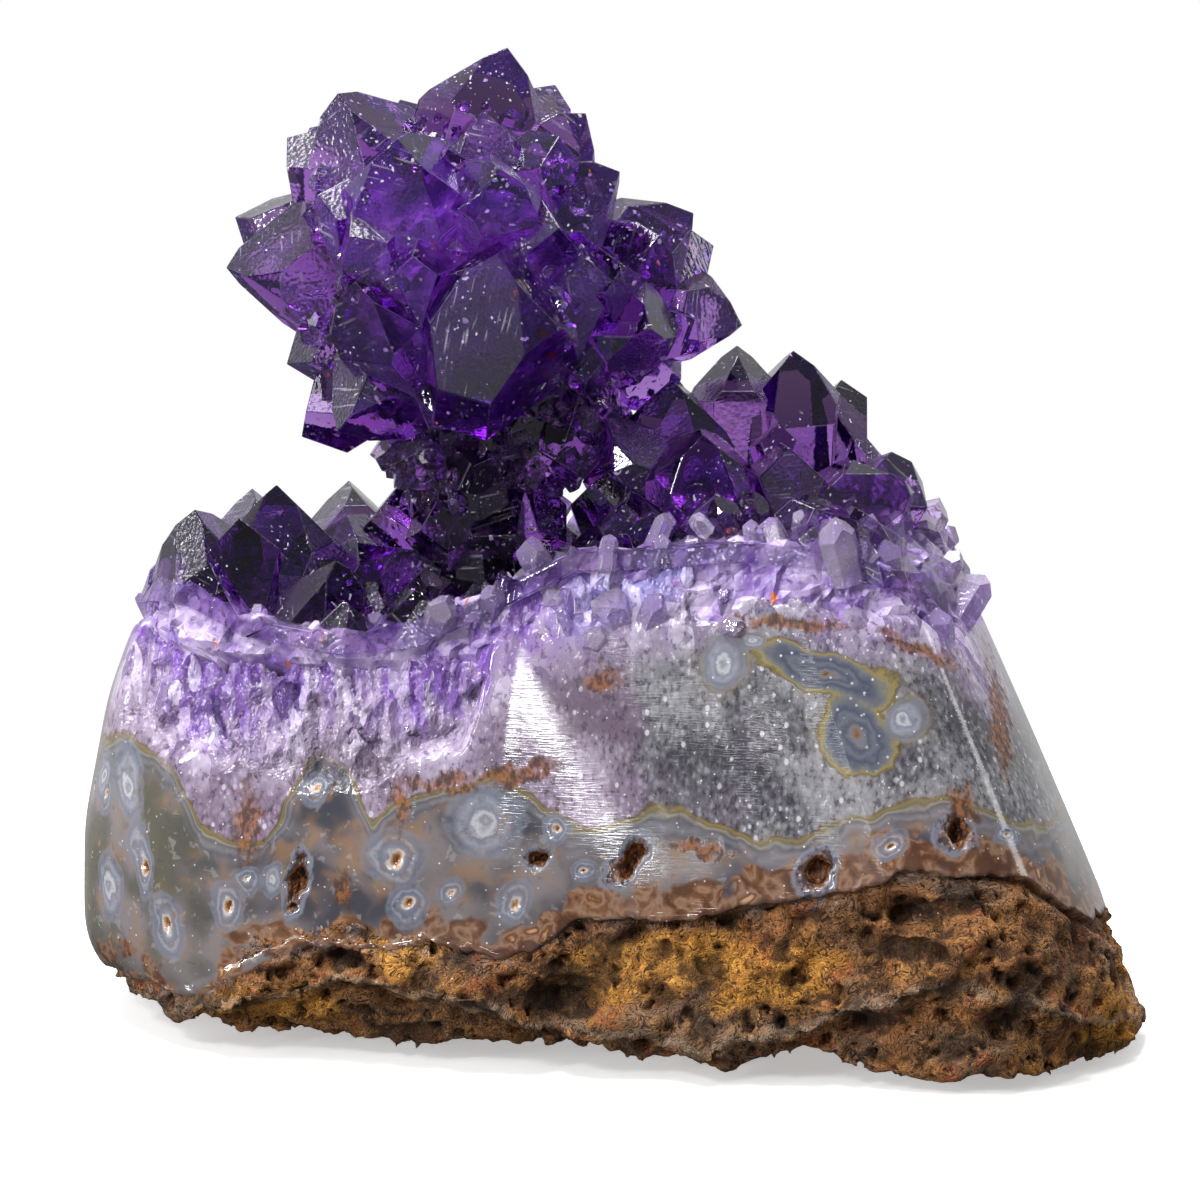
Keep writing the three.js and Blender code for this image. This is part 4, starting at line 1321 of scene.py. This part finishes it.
class BuildStalactite(bpy.types.Operator):
    """Makes the stalactite's clear points, the clouded mass that they grow from and the small points"""

    bl_idname = "amethyst.stalactite"
    bl_label = "Stalactite"

    def execute(self, context):
        settings = context.scene.amethyst_glass
        roots = roots_of(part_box("stalactite"), STALACTITE_MIDDLE)
        tints = (linear(244, 232, 252), linear(226, 220, 255))
        violet = amethyst("clear_amethyst", settings, settings.density, 1.0, tints)
        points = cut_points("stalactite_points", "stalactite", settings.edge, roots, seed=5)
        finished(points, violet, ["stalactite"])
        heart = clouded_mass("stalactite_heart", roots, 0.9 * MM, 0.9 * MM, seed=1)
        finished(heart, clouded_quartz("clouded_quartz"))

        stream = random.Random(5)
        shapes = [quartz_point(f"point_{i}", stream, rise) for i, rise in enumerate((0.1, 0.5, 1.0))]
        growth = Growth("small_points", shapes)
        ground = ground_for("stalactite", roots, 2.0 * MM, 5.5 * MM)
        small = growth.over(
            "stalactite_small_points", ground, Spacing=settings.spacing, Small=settings.small,
            Large=settings.large, Lean=0.6, Lift=0.0, Sink=0.3 * MM, Seed=2, Material=violet,
        )
        facet_marks(small.data, roots, seed=6)
        finished(small, violet)
        plates = [thin_flake(f"flake_{i}", stream) for i in range(3)]
        sealed = Growth("sealed_flakes", plates)
        flakes = sealed.over(
            "stalactite_flakes", ground_for("stalactite", roots, 30 * MM, 31 * MM), Spacing=2.1 * MM,
            Small=settings.flake * 0.4, Large=settings.flake * 3.0, Lean=1.5, Lift=0.0, Sink=1.7 * MM, Seed=4,
            Material=sealed_flakes("sealed_flakes"),
        )
        finished(flakes, bpy.data.materials["sealed_flakes"])
        for shape in shapes + plates:
            bpy.data.objects.remove(shape)
        return {"FINISHED"}


def buried(places, node, way):
    """1 for each place inside a node's solid, looking along one way, and 0 outside it."""
    tree = BVHTree.FromBMesh(merged_copy(node))
    inside = np.zeros(len(places))
    for i, place in enumerate(places):
        hit, normal = tree.ray_cast(Vector(place), way)[:2]
        inside[i] = hit is not None and normal.dot(way) > 0
    return inside


def druse_ground(flank):
    """The clouded quartz under the druse: the wall's own top, swollen under the larger points."""
    shape = merged_copy("geode_wall")
    for corner in shape.verts:
        if corner.normal.z > 0.35 and corner.co.z > 38 * MM:
            corner.co.z += GROUND_LIFT
    for centre, radius in roots_of(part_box("druse"), DRUSE_SWELLS):
        ball = bmesh.ops.create_icosphere(shape, subdivisions=3, radius=radius)
        bmesh.ops.translate(shape, vec=centre, verts=ball["verts"])
    parts = shape.verts[:] + shape.edges[:] + shape.faces[:]
    cut = bmesh.ops.bisect_plane(
        shape, geom=parts, plane_co=(0, 0, GROUND_FOOT), plane_no=(0, 0, -1), clear_outer=True
    )
    rim = [part for part in cut["geom_cut"] if isinstance(part, bmesh.types.BMEdge)]
    bmesh.ops.holes_fill(shape, edges=rim)
    piece = remeshed(linked("druse_ground", mesh_of(shape, "druse_ground")), 0.9 * MM, smooth=2)
    places = corners(piece.data)
    out = vertex_normals(piece.data)
    out[:, 2] = np.maximum(out[:, 2], 0)
    chips = chipped(places, 3 * MM, 1.0)
    lumps = noise_at(places, 3.5 * MM, 3, 31) * 0.8 * MM - chips * 1.2 * MM
    moved = places + out * lumps[:, None]
    gap = flank_gap(flank, moved)[0]
    deep = 0.4 * MM + 2.0 * MM * chips + 5.0 * MM * smooth_step(-moved[:, 2], -46 * MM, -42 * MM)
    push = np.clip(deep - gap, 0, None)
    moved[:, :2] *= (1 - push / np.hypot(moved[:, 0], moved[:, 1]))[:, None]
    move_corners(piece.data, moved)
    store(piece.data, "rim", 1 - smooth_step(flank_gap(flank, moved)[0], 3.5 * MM, 6 * MM))
    return piece


class BuildDruse(bpy.types.Operator):
    """Makes the druse's clear points and the clouded ground that they grow from"""

    bl_idname = "amethyst.druse"
    bl_label = "Druse"

    def execute(self, context):
        settings = context.scene.amethyst_glass
        violet = bpy.data.materials["clear_amethyst"]
        roots = roots_of(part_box("druse"), DRUSE_MIDDLE)
        points = cut_points("druse_points", "druse", settings.edge, roots, seed=8)
        finished(points, violet, ["druse"])
        flank = Flank()
        ground = druse_ground(flank)
        finished(ground, bpy.data.materials["clouded_quartz"])

        stream = random.Random(9)
        shapes = [quartz_point(f"point_{i}", stream, rise) for i, rise in enumerate((0.2, 0.7, 1.3))]
        growth = Growth("druse_small_points", shapes)
        bed = ground.data.copy()
        places = corners(bed)
        covered = np.maximum(*(buried(places, node, Vector((0, 0, 1))) for node in ("druse", "stalactite")))
        back = smooth_step(flank_gap(flank, places)[0], 3.5 * MM, 6 * MM)
        store(bed, "grows", smooth_step(vertex_normals(bed)[:, 2], 0.05, 0.4) * back * (1 - covered))
        small = growth.over(
            "druse_small_points", bed, Spacing=settings.spacing * 1.3, Small=settings.small * 1.2,
            Large=settings.large * 1.4, Lean=0.55, Lift=0.5, Sink=0.4 * MM, Seed=7, Material=violet,
        )
        facet_marks(small.data, roots, seed=11)
        finished(small, violet)

        tints = (linear(244, 232, 255), linear(214, 190, 244))
        pale = amethyst("pale_amethyst", settings, settings.pale_density, 0.75, tints)
        shards = [quartz_point(f"shard_{i}", stream, rise) for i, rise in enumerate((1.0, 1.6, 2.4))]
        edge = ground.data.copy()
        upward = smooth_step(vertex_normals(edge)[:, 2], 0.25, 0.6)
        store(edge, "grows", (1 - back) * upward * (places[:, 2] > 42 * MM))
        rim = Growth("rim_shards", shards).over(
            "rim_points", edge, Spacing=2.6 * MM, Small=0.8 * MM, Large=2.4 * MM,
            Lean=0.5, Lift=1.4, Sink=2.2 * MM, Seed=23, Material=pale,
        )
        facet_marks(rim.data, roots, seed=17)
        finished(rim, pale)
        shapes += shards
        for shape in shapes:
            bpy.data.objects.remove(shape)
        return {"FINISHED"}


# ---- Stage -----------------------------------------------------------------------------------------


class StageSettings(bpy.types.PropertyGroup):
    """The floor, the lights and the camera."""

    reach: FloatProperty(name="Reach", description="Distance of the camera", default=0.6, unit="LENGTH")
    lens: FloatProperty(name="Lens", description="Focal length in millimetres", default=158.4)
    elevation: FloatProperty(
        name="Elevation", description="Camera above the horizon", default=math.radians(12.0), unit="ROTATION"
    )
    floor: FloatVectorProperty(
        name="Floor", description="Colour of the floor", subtype="COLOR", size=4, default=(0.9, 0.9, 0.9, 1.0)
    )


SENSOR = 36.0               # width of the camera's sensor, in millimetres
FLOOR = 4.0                 # half width of the floor
SQUARE = ((-1, -1), (1, -1), (1, 1), (-1, 1))

# Softboxes: name, place, width, height, lean in degrees, and how bright they look; each faces the object
SOFTBOXES = [
    ("front_strip", (-0.184, -0.600, 0.180), 0.024, 0.060, 9, 36.0),
    ("faint_strip", (-0.112, -0.598, 0.240), 0.010, 0.040, -20, 10.0),
    ("spark_left", (-0.27, -0.46, 0.44), 0.09, 0.09, 0, 50.0),
    ("spark_top", (-0.06, -0.26, 0.62), 0.09, 0.09, 0, 50.0),
    ("spark_side", (-0.52, -0.30, 0.16), 0.09, 0.09, 0, 45.0),
    ("left_box", (-0.46, -0.26, 0.34), 0.20, 0.26, 0, 5.5),
    ("top_box", (-0.10, 0.06, 0.62), 0.40, 0.26, 0, 12.0),
    ("right_strip", (0.58, 0.02, 0.26), 0.05, 0.44, 0, 5.0),
]


def surroundings():
    """White to the eye; to the stone, bright behind, above and on the floor ahead, dim in front."""
    world = Finish("studio", world=True)
    way = world.add("ShaderNodeTexCoord").outputs["Generated"]
    back, up = world.part(way, 1), world.part(way, 2)
    behind = back.rise(-0.35, 0.75) * up.rise(-0.45, 0.0)
    floor_ahead = up.rise(-0.05, -0.35) * back.rise(0.1, -0.4)
    level = behind * 0.75 + up.rise(0.1, 1.0) * 0.35 + floor_ahead * 0.34 + 0.15
    soft = world.add("ShaderNodeBackground", None, {"Strength": level}).outputs[0]
    white = world.add("ShaderNodeBackground", None, {"Color": (1, 1, 1, 1)}).outputs[0]
    seen = world.add("ShaderNodeLightPath").outputs["Is Camera Ray"]
    return world.done(world.layered(soft, white, seen))


def softbox(name, place, width, height, lean, glow, target):
    light = bpy.data.lights.new(name, "AREA")
    light.shape = "RECTANGLE"
    light.size = width
    light.size_y = height
    light.energy = glow * math.pi * width * height
    lamp = bpy.data.objects.new(name, light)
    lamp.location = place
    facing = (target - Vector(place)).to_track_quat("-Z", "Y")
    lamp.rotation_euler = (facing @ Quaternion((0, 0, 1), math.radians(lean))).to_euler()
    bpy.context.scene.collection.objects.link(lamp)


def floor_paper(settings):
    """White paper that takes a soft shadow near the object and runs out into plain white."""
    finish = Finish("floor_paper")
    place = finish.place()
    lit = finish.surface(
        Base_Color=tuple(settings.floor), Roughness=0.9, Specular_IOR_Level=0.0, Emission_Color=(1, 1, 1, 1),
        Emission_Strength=0.42,
    )
    plain_white = finish.add("ShaderNodeEmission", None, {"Strength": 1.0}).outputs[0]
    length = finish.add("ShaderNodeVectorMath", {"operation": "LENGTH"}, {0: place}).outputs["Value"]
    return finish.done(finish.layered(lit, plain_white, Number(finish, length).rise(80.0, 170.0)))


class BuildStage(bpy.types.Operator):
    """Makes the floor, the soft lights, the surroundings and the camera"""

    bl_idname = "amethyst.stage"
    bl_label = "Stage"

    def execute(self, context):
        scene = context.scene
        settings = scene.amethyst_stage
        low, high = CAD_BOX
        target = Vector(((low.x + high.x) / 2 - 1.2 * MM, (low.y + high.y) / 2 + 1.5 * MM, 48 * MM))
        tilt = settings.elevation
        camera = bpy.data.objects.new("camera", bpy.data.cameras.new("camera"))
        camera.data.lens = settings.lens
        camera.data.sensor_width = SENSOR
        camera.location = target + settings.reach * Vector((0, -math.cos(tilt), math.sin(tilt)))
        camera.rotation_euler = (math.pi / 2 - tilt, 0, 0)
        scene.collection.objects.link(camera)
        scene.camera = camera

        sheet = bpy.data.meshes.new("floor")
        sheet.from_pydata([(x * FLOOR, y * FLOOR, 0) for x, y in SQUARE], [], [range(4)])
        floor = linked("floor", sheet)
        floor.data.materials.append(floor_paper(settings))
        floor.visible_diffuse = False
        floor.visible_glossy = False
        floor.visible_transmission = False
        for name, place, width, height, lean, glow in SOFTBOXES:
            softbox(name, place, width, height, lean, glow, target)
        scene.world = surroundings()
        scene.view_settings.view_transform = "Standard"
        return {"FINISHED"}


# ---- Add-on ----------------------------------------------------------------------------------------

GROUPS = {
    "amethyst_stage": StageSettings,
    "amethyst_rock": RockSettings,
    "amethyst_wall": WallSettings,
    "amethyst_glass": AmethystSettings,
}
STEPS = (BuildStage, BuildRock, BuildWall, BuildStalactite, BuildDruse)


class AmethystPanel(bpy.types.Panel):
    """Lists the steps that build the specimen"""

    bl_idname = "VIEW3D_PT_amethyst"
    bl_label = "Amethyst stalactite"
    bl_space_type = "VIEW_3D"
    bl_region_type = "UI"
    bl_category = "Amethyst"

    def draw(self, context):
        for step in STEPS:
            self.layout.operator(step.bl_idname)


CLASSES = (*GROUPS.values(), *STEPS, AmethystPanel)


def register():
    for kind in CLASSES:
        bpy.utils.register_class(kind)
    for name, group in GROUPS.items():
        setattr(bpy.types.Scene, name, PointerProperty(type=group))


def unregister():
    for name in GROUPS:
        delattr(bpy.types.Scene, name)
    for kind in reversed(CLASSES):
        bpy.utils.unregister_class(kind)


def main():
    register()
    for step in STEPS:
        group, action = step.bl_idname.split(".")
        getattr(getattr(bpy.ops, group), action)()


if __name__ == "__main__":
    main()
